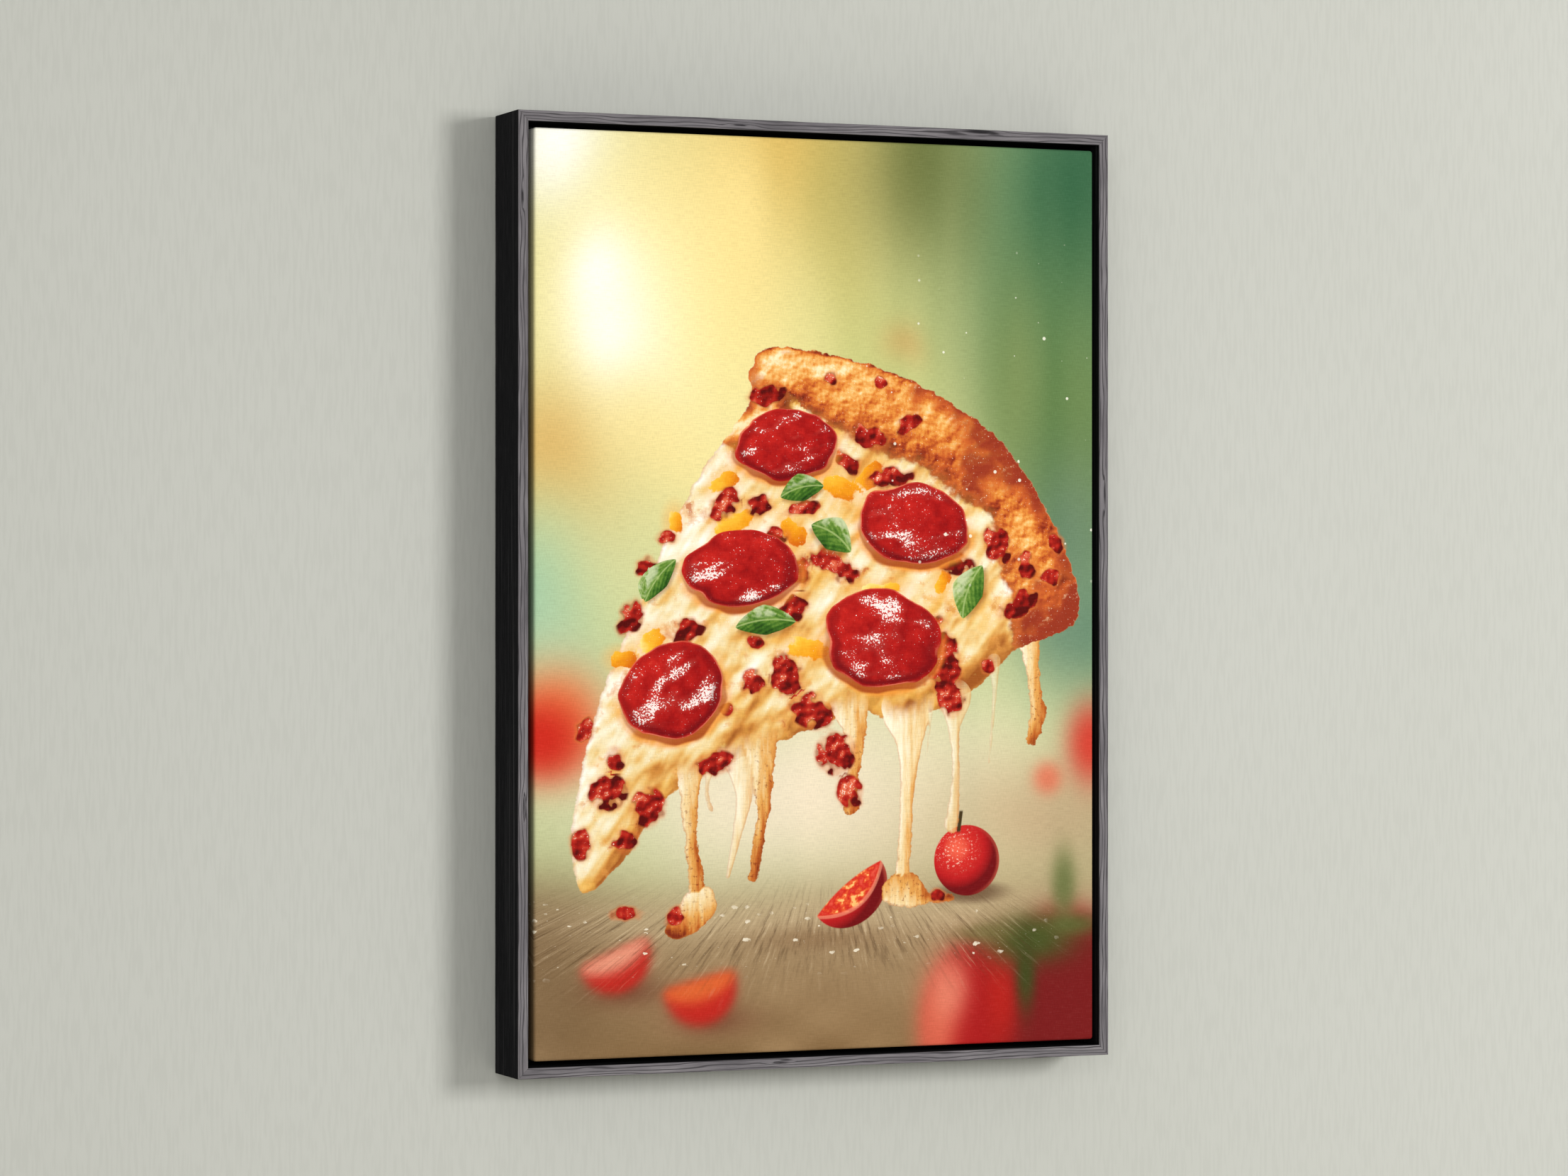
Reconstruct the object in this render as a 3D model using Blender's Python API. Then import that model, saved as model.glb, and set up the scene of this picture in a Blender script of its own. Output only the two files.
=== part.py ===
"""Canvas print in a floater frame, hung on a wall.

A cotton canvas is stretched over four mitred pine bars, with its margin folded
over their backs. It floats inside four mitred L-shaped rails: the bars sit on
the rails' back ledges, and screws driven through each ledge hold them. A
saw-toothed hanger on the top rail takes the wall nail, and four felt pads keep
the frame parallel to the wall.

Frame of reference, in metres: +X right and +Z up as a viewer sees the picture,
+Y into the wall. The origin is on the wall plane at the hanging notch.
"""

import math
from collections.abc import Callable

import bmesh
import bpy
from mathutils import Matrix, Vector

MM = 0.001

# Driving sizes: the picture and the room around it inside the frame.
PICTURE_WIDTH = 406.4 * MM
PICTURE_HEIGHT = 609.6 * MM
FLOAT_GAP = 4.2 * MM
FACE_WIDTH = 7.0 * MM
FRAME_DEPTH = 46.0 * MM

# Pieces that touch keep this much air between their surfaces.
CONTACT = 0.3 * MM
# A mitred end stands back from the mitre plane by half of CONTACT, measured along the rail.
MITRE_BACK = CONTACT / 2 * math.sqrt(2)

# Rails.
LEDGE_REACH = 28.0 * MM
LEDGE_THICKNESS = 6.0 * MM
RAIL_EASE = 0.6 * MM

# Felt pads between the frame and the wall.
PAD_RADIUS = 6.0 * MM
PAD_THICKNESS = 2.5 * MM
PAD_INSET = 15.0 * MM

# Stretcher bars and the cloth on them.
CLOTH = 0.5 * MM
CLOTH_MARGIN = 27.0 * MM
CLOTH_EDGE_RADIUS = 2.0 * MM
BAR_WIDTH = 35.0 * MM
BAR_LIP = 6.0 * MM
BAR_SLOPE = 3.0 * MM
CLOTH_RECESS = 1.1 * MM

# Screws through the ledges into the bars.
SCREW_INSET = 20.0 * MM
SCREW_HEAD_RADIUS = 3.7 * MM
SCREW_HEAD_HEIGHT = 2.0 * MM
SCREW_SHANK_RADIUS = 1.75 * MM
SCREW_LENGTH = 20.0 * MM
SCREWS_PER_SIDE_RAIL = 3
SCREWS_PER_END_RAIL = 2

# Saw-toothed hanger and its two nails.
HANGER_LENGTH = 45.0 * MM
HANGER_HEIGHT = 9.0 * MM
HANGER_THICKNESS = 0.7 * MM
HANGER_RISE = 1.2 * MM
HANGER_TAB = 8.0 * MM
HANGER_TOOTH = 2.4 * MM
HANGER_TOOTH_DEPTH = 1.3 * MM
HANGER_TEETH = 11
NAIL_HEAD_RADIUS = 1.6 * MM
NAIL_HEAD_HEIGHT = 0.7 * MM
NAIL_SHANK_RADIUS = 0.7 * MM
NAIL_LENGTH = 5.0 * MM
# Height of the frame's top edge above the notch that hangs on the wall nail.
TOP_ABOVE_NOTCH = 15.0 * MM

# Planes across the depth, from the wall at y = 0 to the front.
FRAME_BACK_Y = -(PAD_THICKNESS + CONTACT)
FRAME_FRONT_Y = FRAME_BACK_Y - FRAME_DEPTH
LEDGE_FRONT_Y = FRAME_BACK_Y - LEDGE_THICKNESS
CLOTH_BACK_Y = LEDGE_FRONT_Y - CONTACT
BAR_BACK_Y = CLOTH_BACK_Y - CLOTH - CONTACT
CLOTH_FRONT_Y = FRAME_FRONT_Y + CLOTH_RECESS
BAR_FRONT_Y = CLOTH_FRONT_Y + CLOTH + CONTACT

# Half sizes of the frame, the cloth and the bars inside it, and their shared middle.
FRAME_HALF_X = PICTURE_WIDTH / 2 + FLOAT_GAP + FACE_WIDTH
FRAME_HALF_Z = PICTURE_HEIGHT / 2 + FLOAT_GAP + FACE_WIDTH
CLOTH_HALF_X = PICTURE_WIDTH / 2
CLOTH_HALF_Z = PICTURE_HEIGHT / 2
BAR_HALF_X = CLOTH_HALF_X - CLOTH - CONTACT
BAR_HALF_Z = CLOTH_HALF_Z - CLOTH - CONTACT
MIDDLE_Z = TOP_ABOVE_NOTCH - FRAME_HALF_Z

ROUND_STEPS = 24
HOLE_STEPS = 16
SIDES = ("left", "right", "top", "bottom")

Profile = list[tuple[float, float]]


def clear_scene() -> None:
    """Removes every object of the open scene."""
    for thing in list(bpy.data.objects):
        bpy.data.objects.remove(thing, do_unlink=True)


def material(name: str, colour: tuple[float, float, float], roughness: float, metallic: float = 0.0):
    """A Principled material with one colour."""
    made = bpy.data.materials.new(name)
    made.use_nodes = True
    shader = made.node_tree.nodes["Principled BSDF"]
    shader.inputs["Base Color"].default_value = (*colour, 1.0)
    shader.inputs["Roughness"].default_value = roughness
    shader.inputs["Metallic"].default_value = metallic
    return made


def add_object(name: str, bm: bmesh.types.BMesh, finish, place: Vector | None = None):
    """Links a bmesh as a named object with one material, its faces turned outwards."""
    bmesh.ops.recalc_face_normals(bm, faces=bm.faces)
    mesh = bpy.data.meshes.new(name)
    bm.to_mesh(mesh)
    bm.free()
    mesh.materials.append(finish)
    made = bpy.data.objects.new(name, mesh)
    if place is not None:
        made.location = place
    bpy.context.scene.collection.objects.link(made)
    return made


def eased(profile: Profile, corners: tuple[int, ...], radius: float, steps: int = 3) -> Profile:
    """The profile with the named corners rounded by an arc of that radius."""
    rounded: Profile = []
    count = len(profile)
    for index, point in enumerate(profile):
        if index not in corners:
            rounded.append(point)
            continue
        corner = Vector(point)
        before = (Vector(profile[index - 1]) - corner).normalized()
        after = (Vector(profile[(index + 1) % count]) - corner).normalized()
        half_angle = before.angle(after) / 2
        centre = corner + (before + after).normalized() * radius / math.sin(half_angle)
        start = corner + before * radius / math.tan(half_angle) - centre
        end = corner + after * radius / math.tan(half_angle) - centre
        for step in range(steps + 1):
            outward = start.slerp(end, step / steps).normalized()
            rounded.append(tuple(centre + outward * radius))
    return rounded


def side_point(side: str, inward: float, y: float, along: float, half_x: float, half_z: float) -> Vector:
    """A point of a mitred rectangle's member.

    Args:
        side: which of SIDES the member is.
        inward: distance from the rectangle's outer edge towards its middle.
        y: depth.
        along: -1 or 1 at the member's mitred ends.
        half_x, half_z: the rectangle's outer half sizes.
    """
    reach_x = half_x - inward
    reach_z = half_z - inward
    if side in ("left", "right"):
        x = reach_x if side == "right" else -reach_x
        return Vector((x, y, MIDDLE_Z + along * (reach_z - MITRE_BACK)))
    z = reach_z if side == "top" else -reach_z
    return Vector((along * (reach_x - MITRE_BACK), y, MIDDLE_Z + z))


def mitred_member(name: str, side: str, profile: Profile, half_x: float, half_z: float, finish):
    """One member of a mitred rectangle, with this cross-section of (inward, y) points."""
    bm = bmesh.new()
    ends = [
        [bm.verts.new(side_point(side, w, y, along, half_x, half_z)) for w, y in profile]
        for along in (-1, 1)
    ]
    for end in ends:
        bm.faces.new(end)
    count = len(profile)
    for i in range(count):
        j = (i + 1) % count
        bm.faces.new((ends[0][i], ends[0][j], ends[1][j], ends[1][i]))
    return add_object(name, bm, finish)


def rail_profile() -> Profile:
    """The L-shaped floater profile: a thin upright wall and a ledge behind the bars."""
    corners = [
        (0.0, FRAME_BACK_Y),
        (0.0, FRAME_FRONT_Y),
        (FACE_WIDTH, FRAME_FRONT_Y),
        (FACE_WIDTH, LEDGE_FRONT_Y),
        (LEDGE_REACH, LEDGE_FRONT_Y),
        (LEDGE_REACH, FRAME_BACK_Y),
    ]
    return eased(corners, (0, 1, 2, 4, 5), RAIL_EASE)


def bar_profile() -> Profile:
    """A stretcher bar: a flat lip under the cloth's edge, then a slope that clears the cloth."""
    corners = [
        (0.0, BAR_BACK_Y),
        (0.0, BAR_FRONT_Y),
        (BAR_LIP, BAR_FRONT_Y),
        (BAR_WIDTH, BAR_FRONT_Y + BAR_SLOPE),
        (BAR_WIDTH, BAR_BACK_Y),
    ]
    return eased(corners, (1,), CLOTH_EDGE_RADIUS - CLOTH)


def cloth_solid(finish):
    """The stretched canvas: a shallow tray whose margin turns in behind the bars."""
    front = CLOTH_FRONT_Y
    outline = [
        (0.0, front),
        (0.0, CLOTH_BACK_Y),
        (CLOTH_MARGIN, CLOTH_BACK_Y),
        (CLOTH_MARGIN, CLOTH_BACK_Y - CLOTH),
        (CLOTH, CLOTH_BACK_Y - CLOTH),
        (CLOTH, front + CLOTH),
    ]
    # The front face closes the first loop and the inner face the last, so both get a soft edge.
    front_corner = [(CLOTH_EDGE_RADIUS, front), (0.0, front), (0.0, CLOTH_BACK_Y)]
    inner_radius = CLOTH_EDGE_RADIUS - CLOTH
    inner_corner = [(CLOTH, CLOTH_BACK_Y - CLOTH), (CLOTH, front + CLOTH), (CLOTH_EDGE_RADIUS, front + CLOTH)]
    loops = eased(front_corner, (1,), CLOTH_EDGE_RADIUS)[1:-1]
    loops += outline[1:5]
    loops += eased(inner_corner, (1,), inner_radius)[1:-1]
    bm = bmesh.new()
    rings = []
    for inward, y in loops:
        reach_x = CLOTH_HALF_X - inward
        reach_z = CLOTH_HALF_Z - inward
        corners = ((-1, -1), (1, -1), (1, 1), (-1, 1))
        rings.append([bm.verts.new((sx * reach_x, y, MIDDLE_Z + sz * reach_z)) for sx, sz in corners])
    bm.faces.new(rings[0])
    bm.faces.new(rings[-1])
    for first, second in zip(rings, rings[1:]):
        for i in range(4):
            j = (i + 1) % 4
            bm.faces.new((first[i], first[j], second[j], second[i]))
    return add_object("canvas", bm, finish)


def turned(name: str, profile: Profile, place: Vector, finish, steps: int = ROUND_STEPS):
    """A solid of revolution about the Y axis through place.

    Args:
        profile: (radius, y) points from one end of the axis to the other, both on the axis.
    """
    bm = bmesh.new()
    verts = [bm.verts.new((radius, y, 0.0)) for radius, y in profile]
    edges = [bm.edges.new(pair) for pair in zip(verts, verts[1:])]
    bmesh.ops.spin(
        bm,
        geom=verts + edges,
        cent=(0, 0, 0),
        axis=(0, 1, 0),
        angle=math.tau,
        steps=steps,
        use_merge=True,
    )
    bmesh.ops.remove_doubles(bm, verts=bm.verts, dist=1e-6)
    made = add_object(name, bm, finish, place)
    made.data.shade_smooth()
    made.data.set_sharp_from_angle(angle=math.radians(35))
    return made


def domed_head(radius: float, height: float, seat_y: float, steps: int = 5) -> Profile:
    """The profile of a low dome from its crown on the axis down to its rim on the seat."""
    crown = [
        (radius * math.sin(step / steps * math.pi / 2), seat_y + height * math.cos(step / steps * math.pi / 2))
        for step in range(1, steps)
    ]
    return [(0.0, seat_y + height), *crown, (radius, seat_y + height * 0.18), (radius, seat_y)]


def headed_pin(
    name: str, place: Vector, finish, head_radius: float, head_height: float, shank_radius: float, length: float
):
    """A screw or nail driven along -Y, with its head standing behind the frame's back face."""
    seat_y = FRAME_BACK_Y + CONTACT
    point = length * 0.12
    profile = domed_head(head_radius, head_height, seat_y)
    profile += [
        (shank_radius, seat_y),
        (shank_radius, seat_y - length + point),
        (shank_radius * 0.35, seat_y - length),
        (0.0, seat_y - length),
    ]
    return turned(name, profile, place, finish)


def drill(target, place: Vector, radius: float, y_from: float, y_to: float) -> None:
    """Cuts a round hole along Y through target, between two depths."""
    bm = bmesh.new()
    turn = Matrix.Rotation(math.pi / 2, 4, "X")
    middle = Matrix.Translation((place.x, (y_from + y_to) / 2, place.z))
    bmesh.ops.create_cone(
        bm,
        cap_ends=True,
        segments=HOLE_STEPS,
        radius1=radius,
        radius2=radius,
        depth=abs(y_to - y_from),
        matrix=middle @ turn,
    )
    bmesh.ops.recalc_face_normals(bm, faces=bm.faces)
    mesh = bpy.data.meshes.new("drill")
    bm.to_mesh(mesh)
    bm.free()
    cutter = bpy.data.objects.new("drill", mesh)
    bpy.context.scene.collection.objects.link(cutter)
    cutter.hide_render = True
    cutter.display_type = "WIRE"
    cut = target.modifiers.new("hole", "BOOLEAN")
    cut.operation = "DIFFERENCE"
    cut.object = cutter


def spread(count: int, half_length: float) -> list[float]:
    """Evenly spread positions along a rail, clear of its corners."""
    end = half_length * 0.72
    return [end * (2 * i / (count - 1) - 1) for i in range(count)]


def screw_places() -> dict[str, list[Vector]]:
    """Where the screws go through each rail's ledge."""
    x = FRAME_HALF_X - SCREW_INSET
    z = FRAME_HALF_Z - SCREW_INSET
    upright = spread(SCREWS_PER_SIDE_RAIL, FRAME_HALF_Z)
    level = spread(SCREWS_PER_END_RAIL, FRAME_HALF_X)
    return {
        "left": [Vector((-x, 0, MIDDLE_Z + along)) for along in upright],
        "right": [Vector((x, 0, MIDDLE_Z + along)) for along in upright],
        "top": [Vector((along, 0, MIDDLE_Z + z)) for along in level],
        "bottom": [Vector((along, 0, MIDDLE_Z - z)) for along in level],
    }


def hanger_rise(x: float) -> float:
    """How far the hanger stands off the rail at x: flat tabs, and a raised middle."""
    ramp_start = HANGER_LENGTH / 2 - HANGER_TAB
    ramp_end = ramp_start - 3.0 * MM
    share = min(1.0, max(0.0, (ramp_start - abs(x)) / (ramp_start - ramp_end)))
    return HANGER_RISE * share * share * (3 - 2 * share)


def hanger_stations() -> list[tuple[float, float]]:
    """(x, tooth depth) along the hanger's lower edge, with a notch at the middle."""
    half_teeth = HANGER_TEETH * HANGER_TOOTH / 2
    stations = [(-HANGER_LENGTH / 2, 0.0), (-HANGER_LENGTH / 2 + HANGER_TAB, 0.0)]
    for step in range(2 * HANGER_TEETH + 1):
        x = -half_teeth + step * HANGER_TOOTH / 2
        stations.append((x, HANGER_TOOTH_DEPTH if step % 2 else 0.0))
    stations += [(HANGER_LENGTH / 2 - HANGER_TAB, 0.0), (HANGER_LENGTH / 2, 0.0)]
    return stations


def hanger_solid(finish):
    """The saw-toothed plate: a strip whose lower edge is cut into teeth."""
    back = FRAME_BACK_Y + CONTACT
    top = HANGER_HEIGHT - HANGER_TOOTH_DEPTH
    low = -HANGER_TOOTH_DEPTH
    bm = bmesh.new()
    rings = []
    for x, depth in hanger_stations():
        near = back + hanger_rise(x)
        far = near + HANGER_THICKNESS
        bottom = low + depth
        corners = ((near, bottom), (far, bottom), (far, top), (near, top))
        rings.append([bm.verts.new((x, y, z)) for y, z in corners])
    bm.faces.new(rings[0])
    bm.faces.new(rings[-1])
    for first, second in zip(rings, rings[1:]):
        for i in range(4):
            j = (i + 1) % 4
            bm.faces.new((first[i], first[j], second[j], second[i]))
    return add_object("hanger", bm, finish)


def hanger_nail_places() -> dict[str, Vector]:
    """The two nails, through the hanger's flat tabs."""
    x = HANGER_LENGTH / 2 - HANGER_TAB / 2
    z = (HANGER_HEIGHT - 2 * HANGER_TOOTH_DEPTH) / 2
    return {"left": Vector((-x, HANGER_THICKNESS + CONTACT, z)), "right": Vector((x, HANGER_THICKNESS + CONTACT, z))}


def for_each_screw(act: Callable[[str, int, Vector], None]) -> None:
    """Calls act with each screw's side, number and place."""
    for side, places in screw_places().items():
        for number, place in enumerate(places, 1):
            act(side, number, place)


def build() -> None:
    """Makes every piece of the framed canvas."""
    clear_scene()
    black_wood = material("black_wood", (0.030, 0.029, 0.031), 0.55)
    pine = material("pine", (0.62, 0.44, 0.26), 0.6)
    cloth = material("cloth", (0.80, 0.74, 0.58), 0.7)
    zinc = material("zinc", (0.62, 0.62, 0.60), 0.35, 1.0)
    felt = material("felt", (0.09, 0.09, 0.09), 0.95)

    rails = {s: mitred_member(f"rail_{s}", s, rail_profile(), FRAME_HALF_X, FRAME_HALF_Z, black_wood) for s in SIDES}
    bars = {s: mitred_member(f"bar_{s}", s, bar_profile(), BAR_HALF_X, BAR_HALF_Z, pine) for s in SIDES}
    canvas = cloth_solid(cloth)

    hole = SCREW_SHANK_RADIUS + CONTACT
    pilot_end = FRAME_BACK_Y + CONTACT - SCREW_LENGTH - 1.0 * MM

    def fit_screw(side: str, number: int, place: Vector) -> None:
        drill(rails[side], place, hole, FRAME_BACK_Y + MM, LEDGE_FRONT_Y - CONTACT / 2)
        drill(canvas, place, hole, CLOTH_BACK_Y + CONTACT / 2, CLOTH_BACK_Y - CLOTH - CONTACT / 2)
        drill(bars[side], place, hole, BAR_BACK_Y + CONTACT / 2, pilot_end)
        headed_pin(
            f"screw_{side}_{number}",
            place,
            zinc,
            SCREW_HEAD_RADIUS,
            SCREW_HEAD_HEIGHT,
            SCREW_SHANK_RADIUS,
            SCREW_LENGTH,
        )

    for_each_screw(fit_screw)

    hanger = hanger_solid(zinc)
    for side, place in hanger_nail_places().items():
        nail_hole = NAIL_SHANK_RADIUS + CONTACT
        drill(hanger, place, nail_hole, FRAME_BACK_Y, FRAME_BACK_Y + 3 * MM)
        drill(rails["top"], place, nail_hole, FRAME_BACK_Y + MM, FRAME_BACK_Y - NAIL_LENGTH - CONTACT)
        headed_pin(
            f"hanger_nail_{side}",
            place,
            zinc,
            NAIL_HEAD_RADIUS,
            NAIL_HEAD_HEIGHT,
            NAIL_SHANK_RADIUS,
            NAIL_LENGTH,
        )

    pad_profile = [
        (0.0, -PAD_THICKNESS),
        (PAD_RADIUS, -PAD_THICKNESS),
        (PAD_RADIUS, 0.0),
        (0.0, 0.0),
    ]
    for level, up in (("top", 1), ("bottom", -1)):
        for side, across in (("left", -1), ("right", 1)):
            x = across * (FRAME_HALF_X - PAD_INSET)
            z = MIDDLE_Z + up * (FRAME_HALF_Z - PAD_INSET)
            turned(f"pad_{level}_{side}", pad_profile, Vector((x, 0, z)), felt)


build()
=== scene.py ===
"""The looks of a canvas print in a floater frame: its wood, cloth, printed picture and fixings.

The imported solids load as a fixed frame. Each class below dresses one sub-assembly of it:
the mitred rails, the stretcher bars, the stretched canvas with its picture, the fixings
behind, and the wall and lights around them. Everything is in metres, +X to the right as
the picture is seen, +Y into the wall and +Z up.
"""

from __future__ import annotations

import logging
import math
from collections.abc import Callable, Sequence
from dataclasses import dataclass, field
from enum import Enum

import bmesh
import bpy
import numpy as np
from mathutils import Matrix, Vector


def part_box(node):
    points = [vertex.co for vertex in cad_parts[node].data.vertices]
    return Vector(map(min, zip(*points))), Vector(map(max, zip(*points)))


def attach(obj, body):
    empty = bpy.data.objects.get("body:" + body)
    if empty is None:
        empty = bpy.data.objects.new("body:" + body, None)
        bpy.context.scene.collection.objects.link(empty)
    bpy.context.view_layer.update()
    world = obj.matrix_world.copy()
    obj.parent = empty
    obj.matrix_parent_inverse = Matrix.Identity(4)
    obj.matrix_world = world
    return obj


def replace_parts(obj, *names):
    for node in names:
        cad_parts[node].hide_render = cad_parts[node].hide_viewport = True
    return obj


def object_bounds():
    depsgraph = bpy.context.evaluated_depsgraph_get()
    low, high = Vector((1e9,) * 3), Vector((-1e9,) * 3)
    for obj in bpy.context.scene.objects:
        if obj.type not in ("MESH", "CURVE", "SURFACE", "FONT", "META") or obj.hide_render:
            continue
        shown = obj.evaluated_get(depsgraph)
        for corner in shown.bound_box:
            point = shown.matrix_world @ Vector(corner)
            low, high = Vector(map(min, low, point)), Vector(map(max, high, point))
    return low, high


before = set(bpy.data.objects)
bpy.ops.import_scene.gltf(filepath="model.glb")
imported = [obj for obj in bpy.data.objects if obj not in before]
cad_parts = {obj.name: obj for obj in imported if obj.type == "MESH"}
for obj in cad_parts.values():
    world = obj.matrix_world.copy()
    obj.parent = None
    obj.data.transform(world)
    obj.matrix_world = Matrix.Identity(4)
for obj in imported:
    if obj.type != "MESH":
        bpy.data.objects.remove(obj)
CAD_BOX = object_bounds()

log = logging.getLogger("framed_canvas")

MM = 0.001
BODY = "root"

Point = tuple[float, float]
Colour = tuple[float, float, float]
Box = tuple[Vector, Vector]
Grid = np.ndarray
Socket = bpy.types.NodeSocket
Material = bpy.types.Material
Mesh = bpy.types.Mesh
Piece = bpy.types.Object


# ---- shader maths


class Value:
    """A number that varies over a surface, with Python's operators adding Math nodes."""

    def __init__(self, board: Board, socket: Socket) -> None:
        """Wraps one output socket of a board's nodes."""
        self.board = board
        self.socket = socket

    def __add__(self, other: Value | float) -> Value:
        """self + other."""
        return self.board.math("ADD", self, other)

    __radd__ = __add__

    def __sub__(self, other: Value | float) -> Value:
        """self - other."""
        return self.board.math("SUBTRACT", self, other)

    def __rsub__(self, other: Value | float) -> Value:
        """other - self."""
        return self.board.math("SUBTRACT", other, self)

    def __mul__(self, other: Value | float) -> Value:
        """self * other."""
        return self.board.math("MULTIPLY", self, other)

    __rmul__ = __mul__

    def __truediv__(self, other: Value | float) -> Value:
        """self / other."""
        return self.board.math("DIVIDE", self, other)

    def __pow__(self, power: float) -> Value:
        """self to a power."""
        return self.board.math("POWER", self, power)

    def __abs__(self) -> Value:
        """The size of self without its sign."""
        return self.board.math("ABSOLUTE", self)

    def rise(self, low: float, high: float) -> Value:
        """A smooth step of self.

        Args:
            low: where the step starts. It may lie above high, for a step that falls.
            high: where the step ends.

        Returns:
            0 at low, 1 at high, and a smooth curve between them.
        """
        if low > high:
            return 1 - self.rise(high, low)
        settings = {"interpolation_type": "SMOOTHSTEP"}
        sockets = {"Value": self, "From Min": low, "From Max": high}
        return Value(self.board, self.board.node("ShaderNodeMapRange", settings, sockets).outputs["Result"])


@dataclass
class Board:
    """The node tree of one material, and the ways of adding nodes to it."""

    material: Material

    @classmethod
    def fresh(cls, name: str) -> Board:
        """A new material with an empty node tree.

        Args:
            name: the material's name.

        Returns:
            Its board.
        """
        made = bpy.data.materials.new(name)
        made.use_nodes = True
        made.node_tree.nodes.clear()
        return cls(made)

    def node(self, kind: str, settings: dict | None = None, sockets: dict | None = None) -> bpy.types.Node:
        """Adds one node.

        Args:
            kind: the node's type name.
            settings: its properties, set before its sockets. "stops" are a ramp's (place, colour) pairs.
            sockets: input name or number to a number, a colour, a Value or an output socket.

        Returns:
            The node.
        """
        made = self.material.node_tree.nodes.new(kind)
        for name, setting in (settings or {}).items():
            if name == "stops":
                self._set_stops(made.color_ramp, setting)
            else:
                setattr(made, name, setting)
        for name, given in (sockets or {}).items():
            self._feed(made.inputs[name], given)
        return made

    def _set_stops(self, ramp: bpy.types.ColorRamp, stops: Sequence[tuple[float, Colour]]) -> None:
        """Gives a colour ramp these stops in place of its own.

        Args:
            ramp: the ramp.
            stops: its (place, colour) pairs.
        """
        while len(ramp.elements) < len(stops):
            ramp.elements.new(1.0)
        for element, (place, colour) in zip(ramp.elements, stops):
            element.position = place
            element.color = (*colour, 1.0)

    def _feed(self, socket: Socket, given: object) -> None:
        """Links or sets one input socket.

        Args:
            socket: the input.
            given: a number, a colour, a Value or an output socket.
        """
        if isinstance(given, Value):
            given = given.socket
        if isinstance(given, Socket):
            self.material.node_tree.links.new(given, socket)
        elif isinstance(given, tuple) and len(given) == 3 and socket.type == "RGBA":
            socket.default_value = (*given, 1.0)
        else:
            socket.default_value = given

    def math(self, operation: str, *terms: Value | float) -> Value:
        """A Math node on one, two or three numbers."""
        sockets = dict(enumerate(terms))
        return Value(self, self.node("ShaderNodeMath", {"operation": operation}, sockets).outputs[0])

    def most(self, first: Value, second: Value | float) -> Value:
        """The larger of two numbers."""
        return self.math("MAXIMUM", first, second)

    def least(self, first: Value, second: Value | float) -> Value:
        """The smaller of two numbers."""
        return self.math("MINIMUM", first, second)

    def mix(self, share: Value | float, under: object, over: object, blend: str = "MIX") -> Socket:
        """Lays one colour over another.

        Args:
            share: how much of the upper colour shows.
            under: the lower colour.
            over: the upper colour.
            blend: how the two combine.

        Returns:
            The mixed colour's socket.
        """
        settings = {"data_type": "RGBA", "blend_type": blend, "clamp_factor": True}
        made = self.node("ShaderNodeMix", settings, {0: share, 6: under, 7: over})
        return made.outputs[2]

    def ramp(self, place: Value, stops: Sequence[tuple[float, Colour]]) -> Socket:
        """The colour at a place along a ramp of colour stops."""
        settings = {"stops": stops}
        return self.node("ShaderNodeValToRGB", settings, {"Fac": place}).outputs["Color"]

    def join(self, x: Value | float, y: Value | float, z: Value | float = 0.0) -> Socket:
        """A vector of three numbers."""
        return self.node("ShaderNodeCombineXYZ", None, {0: x, 1: y, 2: z}).outputs[0]

    def split(self, vector: Socket) -> tuple[Value, Value, Value]:
        """A vector's three numbers."""
        made = self.node("ShaderNodeSeparateXYZ", None, {0: vector})
        return tuple(Value(self, out) for out in made.outputs)

    def stored(self, name: str) -> tuple[Value, Value, Value, Value]:
        """The four numbers that a mesh stores at each point under a name."""
        made = self.node("ShaderNodeAttribute", {"attribute_name": name})
        return (*self.split(made.outputs["Vector"]), Value(self, made.outputs["Alpha"]))

    def place(self) -> Socket:
        """The piece's own coordinates, in metres."""
        return self.node("ShaderNodeTexCoord").outputs["Object"]

    def scaled(self, vector: Socket, by: Colour) -> Socket:
        """A vector multiplied number by number."""
        return self.node("ShaderNodeVectorMath", {"operation": "MULTIPLY"}, {0: vector, 1: by}).outputs[0]

    def noise(self, where: Socket, scale: float, detail: float = 2.0, rough: float = 0.5) -> Value:
        """Cloudy noise of mean 0.5 at a place."""
        sockets = {"Vector": where, "Scale": scale, "Detail": detail, "Roughness": rough}
        return Value(self, self.node("ShaderNodeTexNoise", None, sockets).outputs["Fac"])

    def cells(self, where: Socket, scale: float) -> tuple[Value, Value]:
        """Scattered cells.

        Args:
            where: the place.
            scale: cells per unit.

        Returns:
            The distance to the nearest cell's middle, and that cell's own random number.
        """
        settings = {"voronoi_dimensions": "2D"}
        made = self.node("ShaderNodeTexVoronoi", settings, {"Vector": where, "Scale": scale})
        own = self.split(made.outputs["Color"])[0]
        return Value(self, made.outputs["Distance"]), own

    def bump(self, height: Value, strength: float, depth: float) -> Socket:
        """A surface normal tilted by a height."""
        sockets = {"Height": height, "Strength": strength, "Distance": depth}
        return self.node("ShaderNodeBump", None, sockets).outputs["Normal"]

    def finish(self, sockets: dict) -> Material:
        """Ends the tree in a Principled shader with these sockets.

        Args:
            sockets: the shader's inputs, as for node.

        Returns:
            The material.
        """
        shader = self.node("ShaderNodeBsdfPrincipled", None, sockets)
        self.node("ShaderNodeOutputMaterial", None, {"Surface": shader.outputs[0]})
        return self.material


def tint(red: float, green: float, blue: float) -> Colour:
    """A display colour of 0 to 255 as the linear colour that shaders take."""
    return tuple(float(c) for c in linear(np.array([red, green, blue], float)))


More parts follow.
